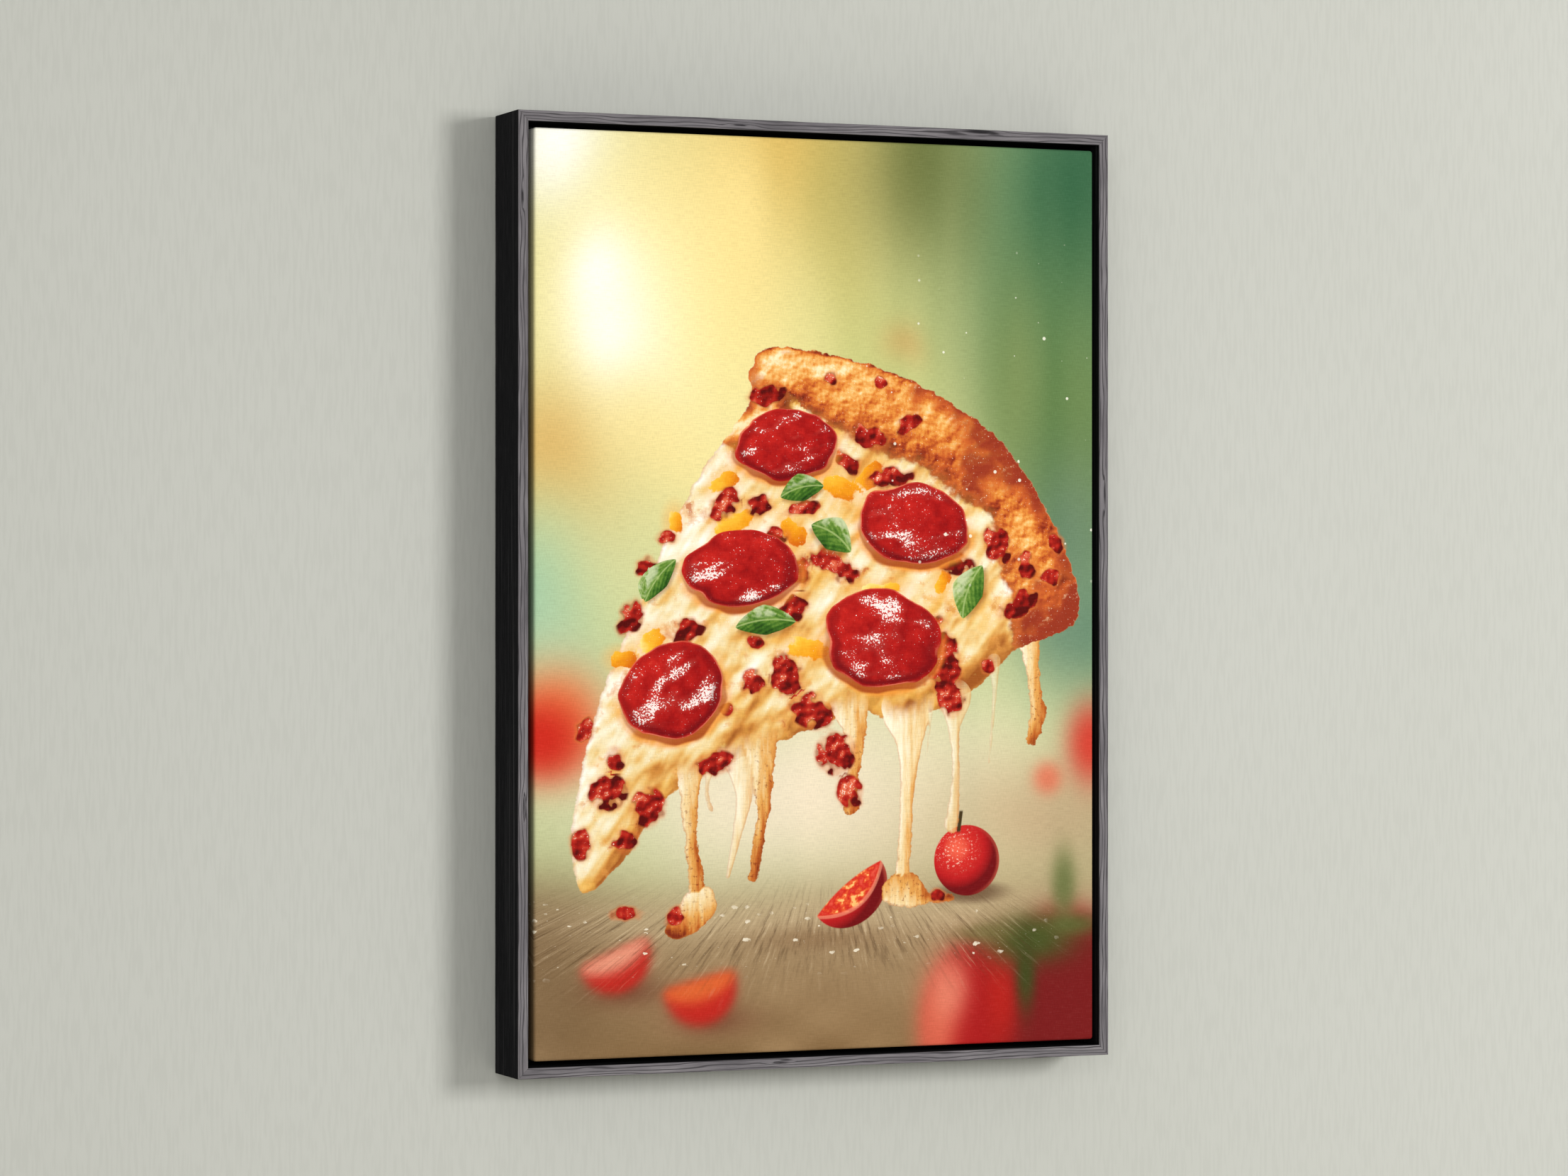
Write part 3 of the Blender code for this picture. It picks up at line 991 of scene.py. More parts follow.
    soft_fruit: tuple[Blob, ...] = (
        Blob((0.035, 0.545), (0.084, 0.082), (228, 112, 62), 0.95),
        Blob((0.010, 0.515), (0.070, 0.060), (200, 34, 24), 0.9),
        Blob((0.998, 0.500), (0.045, 0.065), (206, 52, 40), 0.9),
        Blob((0.915, 0.442), (0.026, 0.026), (222, 104, 76), 0.75),
        Blob((0.775, 0.030), (0.092, 0.140), (166, 26, 26), 1.0),
        Blob((0.955, 0.055), (0.140, 0.165), (118, 26, 26), 1.0),
        Blob((0.708, 0.030), (0.036, 0.090), (226, 124, 92), 0.7),
        Blob((0.735, 0.095), (0.034, 0.052), (236, 150, 120), 0.65),
        Blob((0.830, 0.075), (0.030, 0.080), (186, 32, 24), 0.8),
        Blob((0.945, 0.205), (0.045, 0.030), (176, 84, 62), 0.45),
        Blob((0.885, 0.172), (0.078, 0.040), (70, 80, 34), 1.0),
        Blob((0.874, 0.115), (0.018, 0.060), (64, 68, 28), 1.0),
        Blob((0.960, 0.195), (0.050, 0.017), (84, 96, 46), 0.8),
        Blob((0.945, 0.262), (0.022, 0.056), (98, 108, 60), 0.85),
        Blob((0.795, 0.185), (0.050, 0.014), (112, 104, 60), 0.7),
    )
    soft_wedges: tuple[Oval, ...] = (
        Oval((0.140, 0.160), (0.068, 0.060), 22),
        Oval((0.287, 0.108), (0.070, 0.066), 14),
    )

    def outline(self) -> Grid:
        """The slice's closed outline."""
        points = (self.tip, *self.far_edge, *self.crust_rim, *self.near_edge)
        return curve_through(points, 5, closed=True)

    def slice_depth(self, u: Grid, v: Grid) -> Grid:
        """How far places lie inside the slice's outline, or outside it if negative.

        Args:
            u, v: the places.

        Returns:
            The depth at each place.
        """
        outline = self.outline()
        near = np.full(u.shape, 9.0)
        inside = np.zeros(u.shape, bool)
        for (ax, ay), (bx, by) in zip(outline, np.roll(outline, -1, axis=0)):
            near = np.minimum(near, self._off_segment(u, v, ax, ay, bx, by)[0])
            if ay != by:
                inside ^= ((ay > v) != (by > v)) & (u < (bx - ax) * (v - ay) / (by - ay) + ax)
        return np.where(inside, near, -near)

    @staticmethod
    def _off_segment(
        u: Grid, v: Grid, ax: float, ay: float, bx: float, by: float
    ) -> tuple[Grid, Grid, Grid]:
        """Distance to a segment, the share along it, and the signed distance across it.

        Args:
            u, v: the places.
            ax, ay, bx, by: the segment's ends.

        Returns:
            The three, at each place.
        """
        dx, dy = bx - ax, by - ay
        length = max(math.hypot(dx, dy), 1e-9)
        share = np.clip(((u - ax) * dx + (v - ay) * dy) / length**2, 0.0, 1.0)
        across = ((v - ay) * dx - (u - ax) * dy) / length
        return np.hypot(u - ax - dx * share, v - ay - dy * share), share, across

    def crust(self, u: Grid, v: Grid) -> tuple[Grid, Grid]:
        """Where places lie in the crust.

        Args:
            u, v: the places.

        Returns:
            How far in from the rim, in crust widths, and how far along it from 0 to 1.
        """
        rim = curve_through((self.far_edge[-1], *self.crust_rim), 6)
        near, along = np.full(u.shape, 9.0), np.zeros(u.shape)
        for i, ((ax, ay), (bx, by)) in enumerate(zip(rim, rim[1:])):
            off, share, _ = self._off_segment(u, v, ax, ay, bx, by)
            closer = off < near
            near = np.where(closer, off, near)
            along = np.where(closer, (i + share) / (len(rim) - 1), along)
        swell = 0.78 + 0.5 * lattice(along * 1.0, along * 0.0, 0.085, 3) + 0.16 * np.sin(along * math.pi)
        return near / (self.crust_width * swell), along

    def hanging(self, u: Grid, v: Grid) -> Grid:
        """The drips at each place: depth inside, place across from -1 to 1, toast and body.

        Args:
            u, v: the places.

        Returns:
            One row a place.
        """
        best = np.full(u.shape, -9.0)
        found = np.zeros((len(u), 4))
        for drip in self.drips:
            path = curve_through(drip.path, 7)
            for i, (a, b) in enumerate(zip(path, path[1:])):
                off, share, across = self._off_segment(u, v, a[0], a[1], b[0], b[1])
                width = a[2] + (b[2] - a[2]) * share
                depth = width - off
                deeper = depth > best
                best = np.where(deeper, depth, best)
                run = (i + share) / (len(path) - 1)
                toast = drip.toast * (0.25 + 0.75 * run**1.5)
                rows = np.stack([depth, across / width, toast, np.full(u.shape, drip.body)], 1)
                found = np.where(deeper[:, None], rows, found)
        return found

    def nearest(self, u: Grid, v: Grid, things: Sequence[Oval]) -> Grid:
        """The nearest of some ovals: its own two axes, the distance outside, and its number.

        Args:
            u, v: the places.
            things: the ovals.

        Returns:
            One row a place.
        """
        best = np.full(u.shape, 9.0)
        found = np.zeros((len(u), 4))
        for number, thing in enumerate(things):
            p, q = thing.local(u, v)
            off = (np.hypot(p, q) - 1) * min(thing.reach)
            closer = off < best
            best = np.where(closer, off, best)
            rows = np.stack([p, q, off, np.full(u.shape, (number * 0.37) % 1.0)], 1)
            found = np.where(closer[:, None], rows, found)
        return found

    def height(self, u: Grid, v: Grid, depth: Grid, rim: Grid) -> Grid:
        """The relief of the pictured slice at places of known depth, in picture widths.

        Args:
            u, v: the places.
            depth: how far inside the outline they lie.
            rim: how far in from the rim, in crust widths.

        Returns:
            The height at each place.
        """
        brim = np.clip(depth / 0.05, 0.0, 1.0)
        across, along = u * 0.81 - v * 0.59, u * 0.59 + v * 0.81
        relief = 0.020 * np.sqrt(brim) + 0.013 * lattice(across, along * 0.6, 0.042, 1)
        relief += 0.0055 * lattice(across, along * 0.6, 0.019, 2)
        for thing in (*self.pepperoni, *self.leaves):
            p, q = thing.local(u, v)
            relief += 0.010 * np.exp(-((np.hypot(p, q) / 1.15) ** 4))
        for thing in self.meat:
            p, q = thing.local(u, v)
            relief += 0.006 * np.exp(-(p**2 + q**2) / 1.7)
        lobes = 0.010 * lattice(u + v * 0.4, v * 0.6, 0.075, 31)
        return relief + (0.026 + lobes) * np.exp(-(((rim - 0.5) / 0.42) ** 4))

    def lit(self, u: Grid, v: Grid) -> Grid:
        """How brightly the pictured slice catches the pictured light, about 0.5 where level.

        Args:
            u, v: the places.

        Returns:
            The brightness at each place.
        """
        step = 0.006
        depth, rim = self.slice_depth(u, v), self.crust(u, v)[0]
        here = self.height(u, v, depth, rim)
        slopes = []
        for near_u, near_v in ((u + step, v), (u, v + step)):
            near_depth, near_rim = self.slice_depth(near_u, near_v), self.crust(near_u, near_v)[0]
            slopes.append((self.height(near_u, near_v, near_depth, near_rim) - here) / step)
        slope_u, slope_v = slopes
        low_side = np.full(u.shape, 9.0)
        high_side = np.full(u.shape, 9.0)
        for edge, sides in ((self.near_edge, low_side), (self.far_edge, high_side)):
            for (ax, ay), (bx, by) in zip(edge, edge[1:]):
                np.minimum(sides, self._off_segment(u, v, ax, ay, bx, by)[0], out=sides)
        shade = 0.15 * np.exp(-((low_side / 0.035) ** 2)) + 0.09 * np.exp(-((low_side / 0.13) ** 2))
        glow = 0.07 * np.exp(-((high_side / 0.09) ** 2))
        facing = slope_u * self.light[0] + slope_v * self.light[1]
        return np.clip(self.level - self.contrast * facing - shade + glow, 0.02, 1.0)

    def baked(self, u: Grid, v: Grid, along: Grid, rim: Grid) -> Grid:
        """How browned the crust is, from 0 to 1.

        Args:
            u, v: the places.
            along: how far along the crust they lie.
            rim: how far in from its rim, in crust widths.

        Returns:
            The browning at each place.
        """
        patches = 0.46 * lattice(u, v, 0.060, 41) + 0.30 * lattice(u, v, 0.024, 42)
        dark_run = 0.36 * np.exp(-(((along - 0.60) / 0.10) ** 2))
        dark_run += 0.42 * np.exp(-(((along - 0.97) / 0.11) ** 2))
        pale_run = 0.30 * np.exp(-(((along - 0.76) / 0.06) ** 2))
        pale_run += 0.25 * np.exp(-(((along - 0.20) / 0.14) ** 2))
        outer = 0.34 * np.exp(-((rim / 0.26) ** 2))
        return patches + dark_run * (0.6 + 0.4 * (rim < 0.8)) - pale_run + outer

    def soft_wedge(self, u: Grid, v: Grid, thing: Oval) -> tuple[Grid, Grid]:
        """A blurred cut wedge: how much of it covers each place, and how much of that is flesh.

        Args:
            u, v: the places.
            thing: the wedge's oval.

        Returns:
            The two shares.
        """
        p, q = thing.local(u, v)
        blur = 0.13
        rounded = 1 / (1 + np.exp((np.hypot(p, q) - 0.9) / blur * 2))
        cut = 1 / (1 + np.exp((q - 0.22) / blur * 2.4))
        flesh = 1 / (1 + np.exp((0.05 - q - 0.35 * (1 - p**2)) / blur * 1.6))
        return rounded * cut, flesh

    def surroundings(self, u: Grid, v: Grid) -> Grid:
        """The blurred surroundings: a linear colour, and how sharp the table is.

        Args:
            u, v: the places.

        Returns:
            One row a place.
        """
        colour = np.tile(np.array([184.0, 196.0, 142.0]), (len(u), 1))
        sway_u = u + 0.08 * (lattice(u, v * 0.45, 0.16, 11) - 0.5)
        sway_v = v + 0.10 * (lattice(u, v * 0.45, 0.16, 12) - 0.5)

        def lay(share: Grid, over: Colour) -> None:
            """Lays one colour over the surroundings so far."""
            colour[:] = colour + (np.array(over, float) - colour) * np.clip(share, 0, 1)[:, None]

        for patch in self.patches:
            off_u = (sway_u - patch.at[0]) / patch.reach[0]
            off_v = (sway_v - patch.at[1]) / patch.reach[1]
            lay(patch.strength * np.exp(-(off_u**2 + off_v**2)), patch.colour)
        curtain = lattice(u, v * 0.14, 0.07, 14) + 0.5 * lattice(u, v * 0.14, 0.032, 15) - 0.75
        colour += curtain[:, None] * np.array([16.0, 11.0, 10.0]) * np.clip(u * 1.6 - 0.3, 0, 1)[:, None]
        horizon = 0.262 + 0.03 * (lattice(u, v, 0.3, 9) - 0.5)
        table = 1 / (1 + np.exp((v - horizon) / 0.030))
        lay(table * 0.96, (158, 130, 96))
        lay(table * np.exp(-(((v - 0.225) / 0.045) ** 2)) * 0.45, (204, 178, 142))
        lay(table * np.clip(1 - v / 0.20, 0, 1) * 0.8, (134, 104, 68))
        lay(table * np.exp(-(((u - 0.00) / 0.13) ** 2)) * 0.6, (110, 86, 58))
        lay(table * np.exp(-(((u - 0.5) / 0.12) ** 2) - ((v - 0.185) / 0.02) ** 2) * 0.5, (118, 84, 54))
        grey = lattice(u, v * 1.6, 0.085, 17) - 0.5
        colour += (table * np.clip(1 - v / 0.14, 0, 1) * grey * 34)[:, None] * np.array([1.0, 0.95, 0.85])
        for spot in self.soft_fruit:
            off = np.hypot((u - spot.at[0]) / spot.reach[0], (v - spot.at[1]) / spot.reach[1])
            share = np.exp(-(off**2.6) * 0.8) if spot.reach[0] < 0.085 else 1 / (1 + np.exp((off - 1) * 13))
            lay(spot.strength * share, spot.colour)
        for thing, inside in zip(self.soft_wedges, ((236, 172, 140), (224, 112, 52))):
            under_it = Oval((thing.at[0] + 0.02, thing.at[1] - 0.052), (thing.reach[0], 0.026))
            p, q = under_it.local(u, v)
            lay(0.6 * np.exp(-(p**2) - q**2), (100, 50, 34))
            covered, flesh = self.soft_wedge(u, v, thing)
            lay(covered, (188, 36, 28))
            lay(covered * flesh * 0.85, inside)
        sharp = table * np.exp(-(((v - 0.205) / 0.075) ** 2))
        return np.column_stack([linear(colour), sharp])

    def stored_on(self, mesh: Mesh, u: Grid, v: Grid) -> None:
        """Stores on a mesh what the print's material needs at each of its points.

        Args:
            mesh: the mesh.
            u, v: its points' places.
        """
        depth, (rim, along) = self.slice_depth(u, v), self.crust(u, v)
        baked, lit = self.baked(u, v, along, rim), self.lit(u, v)
        store(mesh, "spot", np.column_stack([u, v]))
        store(mesh, "surround", self.surroundings(u, v))
        store(mesh, "slice", np.column_stack([depth, rim, baked, lit]))
        store(mesh, "drip", self.hanging(u, v))
        for name, ovals in (
            ("pepperoni", self.pepperoni),
            ("leaf", self.leaves),
            ("meat", self.meat),
            ("pepper", self.peppers),
            ("tomato", self.tomatoes),
        ):
            store(mesh, name, self.nearest(u, v, ovals))


@dataclass
class PrintedCloth:
    """The cloth's printed side: inks in a matt coat over the weave."""

    name: str = "printed_canvas"
    thread: float = 0.5 * MM
    width: float = 0.4064

    def made(self) -> Material:
        """Builds the material from the picture's stored numbers, one kind of thing at a time.

        Returns:
            The material.
        """
        self.board = board = Board.fresh(self.name)
        self.u, self.v, _, _ = board.stored("spot")
        self.at = board.join(self.u, self.v)
        self.wobble = board.noise(self.at, 38.0, 3.0, 0.55) - 0.5
        self.fine = board.noise(self.at, 150.0, 3.0, 0.6)
        self.sparks = board.noise(self.at, 290.0, 2.0, 0.6)
        colour = self.surroundings()
        colour = self.tomatoes(colour)
        colour = self.cheese(colour)
        colour = self.drips(colour)
        colour = self.crust(colour)
        colour = self.peppers(colour)
        colour = self.meat(colour)
        colour = self.pepperoni(colour)
        colour = self.leaves(colour)
        colour = self.dust_and_highlight(colour)
        return self.weave(colour)

    def surroundings(self) -> Socket:
        """The blurred room, and the table with its grain and spilt flour.

        Returns:
            The colour.
        """
        board = self.board
        made = board.node("ShaderNodeAttribute", {"attribute_name": "surround"})
        colour, sharp = made.outputs["Color"], Value(board, made.outputs["Alpha"])
        reach = 0.44 - self.v
        grain_at = board.join((self.u - 0.52) / reach * 34.0 + self.wobble * 0.5, self.v * 16.0)
        grain = board.noise(grain_at, 1.0, 4.0, 0.68)
        crisp = sharp * self.u.rise(1.0, 0.74)
        colour = board.mix(grain.rise(0.52, 0.30) * crisp * 0.8, colour, tint(84, 58, 36))
        colour = board.mix(grain.rise(0.54, 0.74) * crisp * 0.6, colour, tint(216, 192, 156))
        off, own = board.cells(board.join(self.u + self.wobble * 0.02, self.v * 1.7), 46.0)
        size = (own - 0.80) * 1.5
        fleck = (size - off + (self.fine - 0.5) * 0.5).rise(0.0, 0.05) * own.rise(0.80, 0.82)
        crumbs = self.sparks.rise(0.69, 0.74)
        scatter = board.most(fleck, crumbs * 0.8) * (self.wobble + 0.5).rise(0.35, 0.55)
        lain = sharp.rise(0.25, 0.7) * self.u.rise(0.96, 0.84)
        return board.mix(scatter * lain * 0.85, colour, tint(238, 226, 202))

    def drips(self, under: Socket) -> Socket:
        """Melted cheese hanging and pooled: pale strands, golden edges and browned ends.

        Args:
            under: the colour so far.

        Returns:
            The colour with the drips over it.
        """
        board = self.board
        depth, across, toast, body = board.stored("drip")
        ragged = self.wobble * 0.018 + (self.fine - 0.5) * 0.006
        depth = depth + ragged * toast.rise(-0.2, 0.5)
        mask = depth.rise(-0.0006, 0.0012) * body * self.depth.rise(0.036, 0.0)
        streak = board.noise(board.join(self.u * 105.0, self.v * 13.0), 1.0, 4.0, 0.6)
        tone = 0.34 - across * 0.18 + streak * 0.66 - toast * 0.46
        colour = board.ramp(tone, [
            (0.06, tint(128, 44, 20)), (0.22, tint(190, 100, 38)), (0.40, tint(226, 164, 84)),
            (0.56, tint(238, 208, 152)), (0.78, tint(253, 242, 214)),
        ])
        edge = depth.rise(0.0042, 0.0) * self.depth.rise(0.004, -0.006) * 0.6
        colour = board.mix(edge, colour, tint(188, 112, 48))
        spot = self.fine.rise(0.56, 0.68) * toast.rise(0.1, 0.6)
        colour = board.mix(spot * 0.7, colour, tint(128, 44, 22))
        return board.mix(mask, under, colour)

    def tomatoes(self, under: Socket) -> Socket:
        """A whole cherry tomato and a cut wedge on the table.

        Args:
            under: the colour so far.

        Returns:
            The colour with the tomatoes over it.
        """
        board = self.board
        p, q, off, own = board.stored("tomato")
        whole = own.rise(0.2, 0.1)
        shade_off = (q + 0.9) * (q + 0.9) * 10.0 + (p - 0.15) * (p - 0.15) * 0.6
        shade = shade_off.rise(1.5, 0.0) * off.rise(0.08, 0.0) * whole
        under = board.mix(shade * 0.75, under, tint(84, 46, 26))
        radius = board.math("SQRT", p * p + q * q)
        bulge = q - (1 - p * p) * 0.16
        cut = bulge.rise(0.0, 0.05) * (1 - whole)
        mask = radius.rise(1.0, 0.965) * off.rise(0.01, 0.0) * (1 - cut)
        glow = ((p + 0.30) * (p + 0.30) + (q - 0.34) * (q - 0.34)) * 0.8
        skin = board.ramp(glow, [
            (0.0, tint(236, 96, 72)), (0.14, tint(208, 44, 38)), (0.55, tint(184, 28, 30)),
            (1.0, tint(112, 14, 18)),
        ])
        shine = (self.sparks * 0.5 + self.fine * 0.5).rise(0.54, 0.62) * glow.rise(0.5, 0.05)
        skin = board.mix(shine * 0.7, skin, tint(255, 214, 192))
        rim_light = radius.rise(0.86, 0.96) * (p * 0.8 - 0.1)
        skin = board.mix(rim_light * 0.5, skin, tint(232, 106, 84))
        seeds = board.noise(board.join(p * 4.4, q * 5.0), 1.0, 2.0)
        flesh = board.ramp(seeds + abs(p) * 0.10 - 0.04, [
            (0.36, tint(250, 190, 112)), (0.42, tint(232, 96, 50)), (0.54, tint(206, 40, 30)),
            (0.70, tint(226, 80, 60)),
        ])
        wall = (q + (1 - p * p) * 0.56).rise(0.0, 0.07) * (1 - whole)
        lined = abs(q + (1 - p * p) * 0.52).rise(0.08, 0.03) * (1 - whole)
        skin = board.mix(wall, skin, flesh)
        skin = board.mix(lined * 0.6, skin, tint(238, 140, 112))
        stalk = abs(p + 0.36 - q * 0.14).rise(0.075, 0.035) * q.rise(0.74, 0.84) * q.rise(1.42, 1.34)
        return board.mix(stalk * whole, board.mix(mask, under, skin), tint(66, 52, 26))

    def cheese(self, under: Socket) -> Socket:
        """The slice's melted cheese, with its light, folds and toasted spots.

        Args:
            under: the colour so far.

        Returns:
            The colour with the cheese over it.
        """
        board = self.board
        depth, rim, _, lit = board.stored("slice")
        self.rim, self.lit = rim, lit
        self.depth = depth + self.wobble * 0.018 + (self.fine - 0.5) * 0.004
        mask = self.depth.rise(-0.0008, 0.0014)
        across, along = self.u * 0.81 - self.v * 0.59, self.u * 0.59 + self.v * 0.81
        folds = board.noise(board.join(across * 34.0, along * 15.0), 1.0, 2.0, 0.42)
        folds_lit = board.noise(board.join(across * 34.0 + 0.26, along * 15.0 - 0.16), 1.0, 2.0, 0.42)
        emboss = (folds - folds_lit) * (0.42 + lit * 1.35)
        grit = (self.fine - 0.5) * 0.07
        tone = lit * 0.96 - 0.02 + emboss + grit
        colour = board.ramp(tone, [
            (0.02, tint(156, 84, 32)), (0.16, tint(206, 138, 62)), (0.30, tint(230, 182, 104)),
            (0.44, tint(238, 210, 150)), (0.58, tint(243, 226, 184)), (0.76, tint(250, 240, 212)),
            (0.92, tint(255, 252, 238)),
        ])
        spot = board.noise(self.at, 21.0, 4.0, 0.6)
        colour = board.mix(spot.rise(0.56, 0.64) * 0.5, colour, tint(226, 156, 76))
        colour = board.mix(spot.rise(0.63, 0.70) * 0.7, colour, tint(188, 84, 40))
        oil = board.noise(board.join(self.u + 3.0, self.v), 13.0, 3.0, 0.55)
        colour = board.mix(oil.rise(0.54, 0.66) * 0.45, colour, tint(240, 186, 84))
        colour = board.mix(spot.rise(0.40, 0.30) * 0.35, colour, tint(236, 206, 118))
        gleam = self.sparks.rise(0.63, 0.71) * tone.rise(0.34, 0.6)
        colour = board.mix(gleam * 0.85, colour, tint(255, 252, 240))
        rind = self.depth.rise(0.007, 0.0) * (0.1 + folds * 0.7)
        colour = board.mix(rind, colour, tint(196, 128, 60))
        return board.mix(mask, under, colour)

    def crust(self, under: Socket) -> Socket:
        """The baked rim: golden, blistered and browned, lit along its outer edge.

        Args:
            under: the colour so far.

        Returns:
            The colour with the crust over it.
        """
        board = self.board
        _, _, baked, _ = board.stored("slice")
        inset = self.rim + self.wobble * 0.34
        mask = inset.rise(1.06, 0.96) * self.depth.rise(-0.0008, 0.0014)
        blister = board.noise(self.at, 25.0, 4.0, 0.52)
        blister_lit = board.noise(board.join(self.u - 0.0030, self.v + 0.0040), 25.0, 4.0, 0.52)
        emboss = (blister - blister_lit) * 2.4
        curve = (inset - 0.45) * (inset - 0.45) * 1.3
        browned = baked + (blister - 0.5) * 1.1
        tone = 0.31 + self.lit * 0.66 - curve + emboss + (self.fine - 0.5) * 0.16 - browned * 0.22
        colour = board.ramp(tone, [
            (0.10, tint(104, 26, 16)), (0.28, tint(160, 58, 28)), (0.44, tint(206, 104, 40)),
            (0.60, tint(230, 146, 62)), (0.78, tint(244, 190, 110)), (0.98, tint(255, 234, 186)),
        ])
        colour = board.mix(browned.rise(0.42, 0.70) * 0.62, colour, tint(204, 96, 44))
        colour = board.mix(browned.rise(0.66, 0.92) * 0.70, colour, tint(138, 36, 28))
        shine = emboss.rise(0.16, 0.42) * browned.rise(0.2, 0.6)
        colour = board.mix(shine * 0.55, colour, tint(250, 200, 152))
        sparkle = (self.sparks + emboss * 0.12).rise(0.655, 0.72)
        colour = board.mix(sparkle * 0.7, colour, tint(255, 228, 196))
        colour = board.mix(inset.rise(0.78, 1.0) * 0.40, colour, tint(206, 124, 56))
        return board.mix(mask, under, colour)

    def peppers(self, under: Socket) -> Socket:
        """Strips of yellow pepper sunk in the cheese.

        Args:
            under: the colour so far.

        Returns:
            The colour with the peppers over it.
        """
        board = self.board
        p, q, off, own = board.stored("pepper")
        edge = board.most(abs(p), abs(q)) * 0.6 + board.math("SQRT", p * p + q * q) * 0.4
        edge = edge + self.wobble * 1.6
        mask = edge.rise(1.0, 0.84) * off.rise(0.008, 0.002)
        under = board.mix(off.rise(0.020, -0.004) * 0.5, under, tint(240, 176, 84))
        tone = 0.50 + q * 0.16 - p * 0.20 + self.wobble * 0.5 + (self.fine - 0.5) * 0.14 + (own - 0.5) * 0.4
        colour = board.ramp(tone, [
            (0.1, tint(214, 104, 14)), (0.42, tint(240, 156, 26)), (0.70, tint(248, 190, 56)),
            (0.95, tint(255, 232, 150)),
        ])
        colour = board.mix(self.sparks.rise(0.68, 0.74) * 0.6, colour, tint(255, 248, 214))
        return board.mix(mask, under, colour)

    def meat(self, under: Socket) -> Socket:
        """Crumbs of red sausage, dark in their hollows and glossy on top.

        Args:
            under: the colour so far.

        Returns:
            The colour with the meat over it.
        """
        board = self.board
        p, q, off, own = board.stored("meat")
        lump = board.noise(self.at, 44.0, 1.2, 0.45)
        lump_lit = board.noise(board.join(self.u - 0.0030, self.v + 0.0042), 44.0, 1.2, 0.45)
        edge = board.math("SQRT", p * p + q * q) + (lump - 0.5) * 2.3 + self.wobble * 0.35
        under = board.mix(edge.rise(1.7, 0.95) * off.rise(0.012, 0.0) * 0.6, under, tint(216, 112, 52))
        under = board.mix(edge.rise(1.18, 1.0) * off.rise(0.008, 0.001) * 0.5, under, tint(110, 40, 20))
        mask = edge.rise(1.0, 0.93) * off.rise(0.007, 0.002)
        bulge = (lump - lump_lit) * 2.6
        tone = 0.42 + q * 0.16 - p * 0.12 + (self.fine - 0.5) * 0.36 + bulge + (own - 0.5) * 0.24
        colour = board.ramp(tone, [
            (0.08, tint(86, 10, 8)), (0.34, tint(146, 22, 16)), (0.58, tint(186, 40, 28)),
            (0.84, tint(222, 104, 72)),
        ])
        glint = (self.sparks + tone * 0.26).rise(0.79, 0.83)
        colour = board.mix(glint * 0.8, colour, tint(254, 220, 196))
        return board.mix(mask, under, colour)

    def leaves(self, under: Socket) -> Socket:
        """Basil leaves with a pale midrib, side veins and one half in the light.

        Args:
            under: the colour so far.

        Returns:
            The colour with the leaves over it.
        """
        board = self.board
        p, q, off, own = board.stored("leaf")
        spread = board.most(1 - abs(p) ** 1.35, 0.0) ** 0.74 * 0.98
        bent = q + p * p * 0.30 - 0.10
        edge = spread - abs(bent) + self.wobble * 0.12
        near = off.rise(0.012, 0.004)
        shadow_edge = spread - abs(bent + 0.30)
        under = board.mix(shadow_edge.rise(-0.10, 0.30) * near * 0.6, under, tint(150, 96, 40))
        mask = edge.rise(-0.01, 0.05) * near
        vein = board.math("SINE", (p * 1.0 + abs(bent) * 1.3) * 17.0) * 0.5 + 0.5
        rib = abs(bent).rise(0.08, 0.02)
        mottle = (self.fine - 0.5) * 0.5 + self.wobble * 0.8
        tone = 0.46 + bent * 0.34 + vein * 0.14 + mottle + (own - 0.5) * 0.2
        colour = board.ramp(tone, [
            (0.05, tint(26, 58, 16)), (0.34, tint(62, 106, 32)), (0.58, tint(108, 144, 56)),
            (0.86, tint(178, 196, 126)),
        ])
        colour = board.mix(rib * 0.6, colour, tint(176, 196, 124))
        sheen = (bent - 0.05).rise(0.0, 0.4) * self.wobble.rise(-0.08, 0.06) * 0.55
        colour = board.mix(sheen, colour, tint(208, 216, 180))
        return board.mix(mask, under, colour)

    def pepperoni(self, under: Socket) -> Socket:
        """Glossy pepperoni: a wavy rim, a thin lit lip and light caught in the oil.

        Args:
            under: the colour so far.

        Returns:
            The colour with the pepperoni over it.
        """
        board = self.board
        p, q, off, own = board.stored("pepperoni")
        skew = board.noise(board.join(p, q, own * 9.0), 1.25, 1.0) - 0.5
        round_off = board.math("SQRT", p * p + q * q)
        radius = round_off + skew * 0.42 + self.wobble * 0.05
        near = off.rise(0.019, 0.008)
        low = radius + q * 0.10
        glow = low.rise(1.24, 0.98) * near * (0.45 - q * 0.45)
        under = board.mix(glow, under, tint(240, 150, 56))
        under = board.mix(low.rise(1.05, 0.99) * near * (0.40 - q * 0.40), under, tint(150, 50, 20))
        mask = radius.rise(1.0, 0.98) * near
        mottle = board.noise(board.join(p * 3.6, q * 2.6, own * 9.0), 1.0, 4.0, 0.62)
        tone = 0.14 + mottle * 0.66 + q * 0.06 - p * 0.06
        colour = board.ramp(tone, [
            (0.22, tint(116, 8, 12)), (0.40, tint(160, 18, 18)), (0.60, tint(196, 34, 28)),
            (0.82, tint(226, 78, 56)),
        ])
        gloss = board.noise(board.join(p * 1.25 - q * 0.7, q * 1.7, own * 6.0 + 3.0), 1.0, 2.0)
        patch = gloss.rise(0.50, 0.66) * radius.rise(0.98, 0.80)
        colour = board.mix(patch * 0.26, colour, tint(226, 104, 92))
        glints = (self.sparks + patch * 0.24 + (mottle - 0.5) * 0.44).rise(0.705, 0.74)
        colour = board.mix(glints * radius.rise(0.99, 0.93) * 0.94, colour, tint(255, 240, 234))
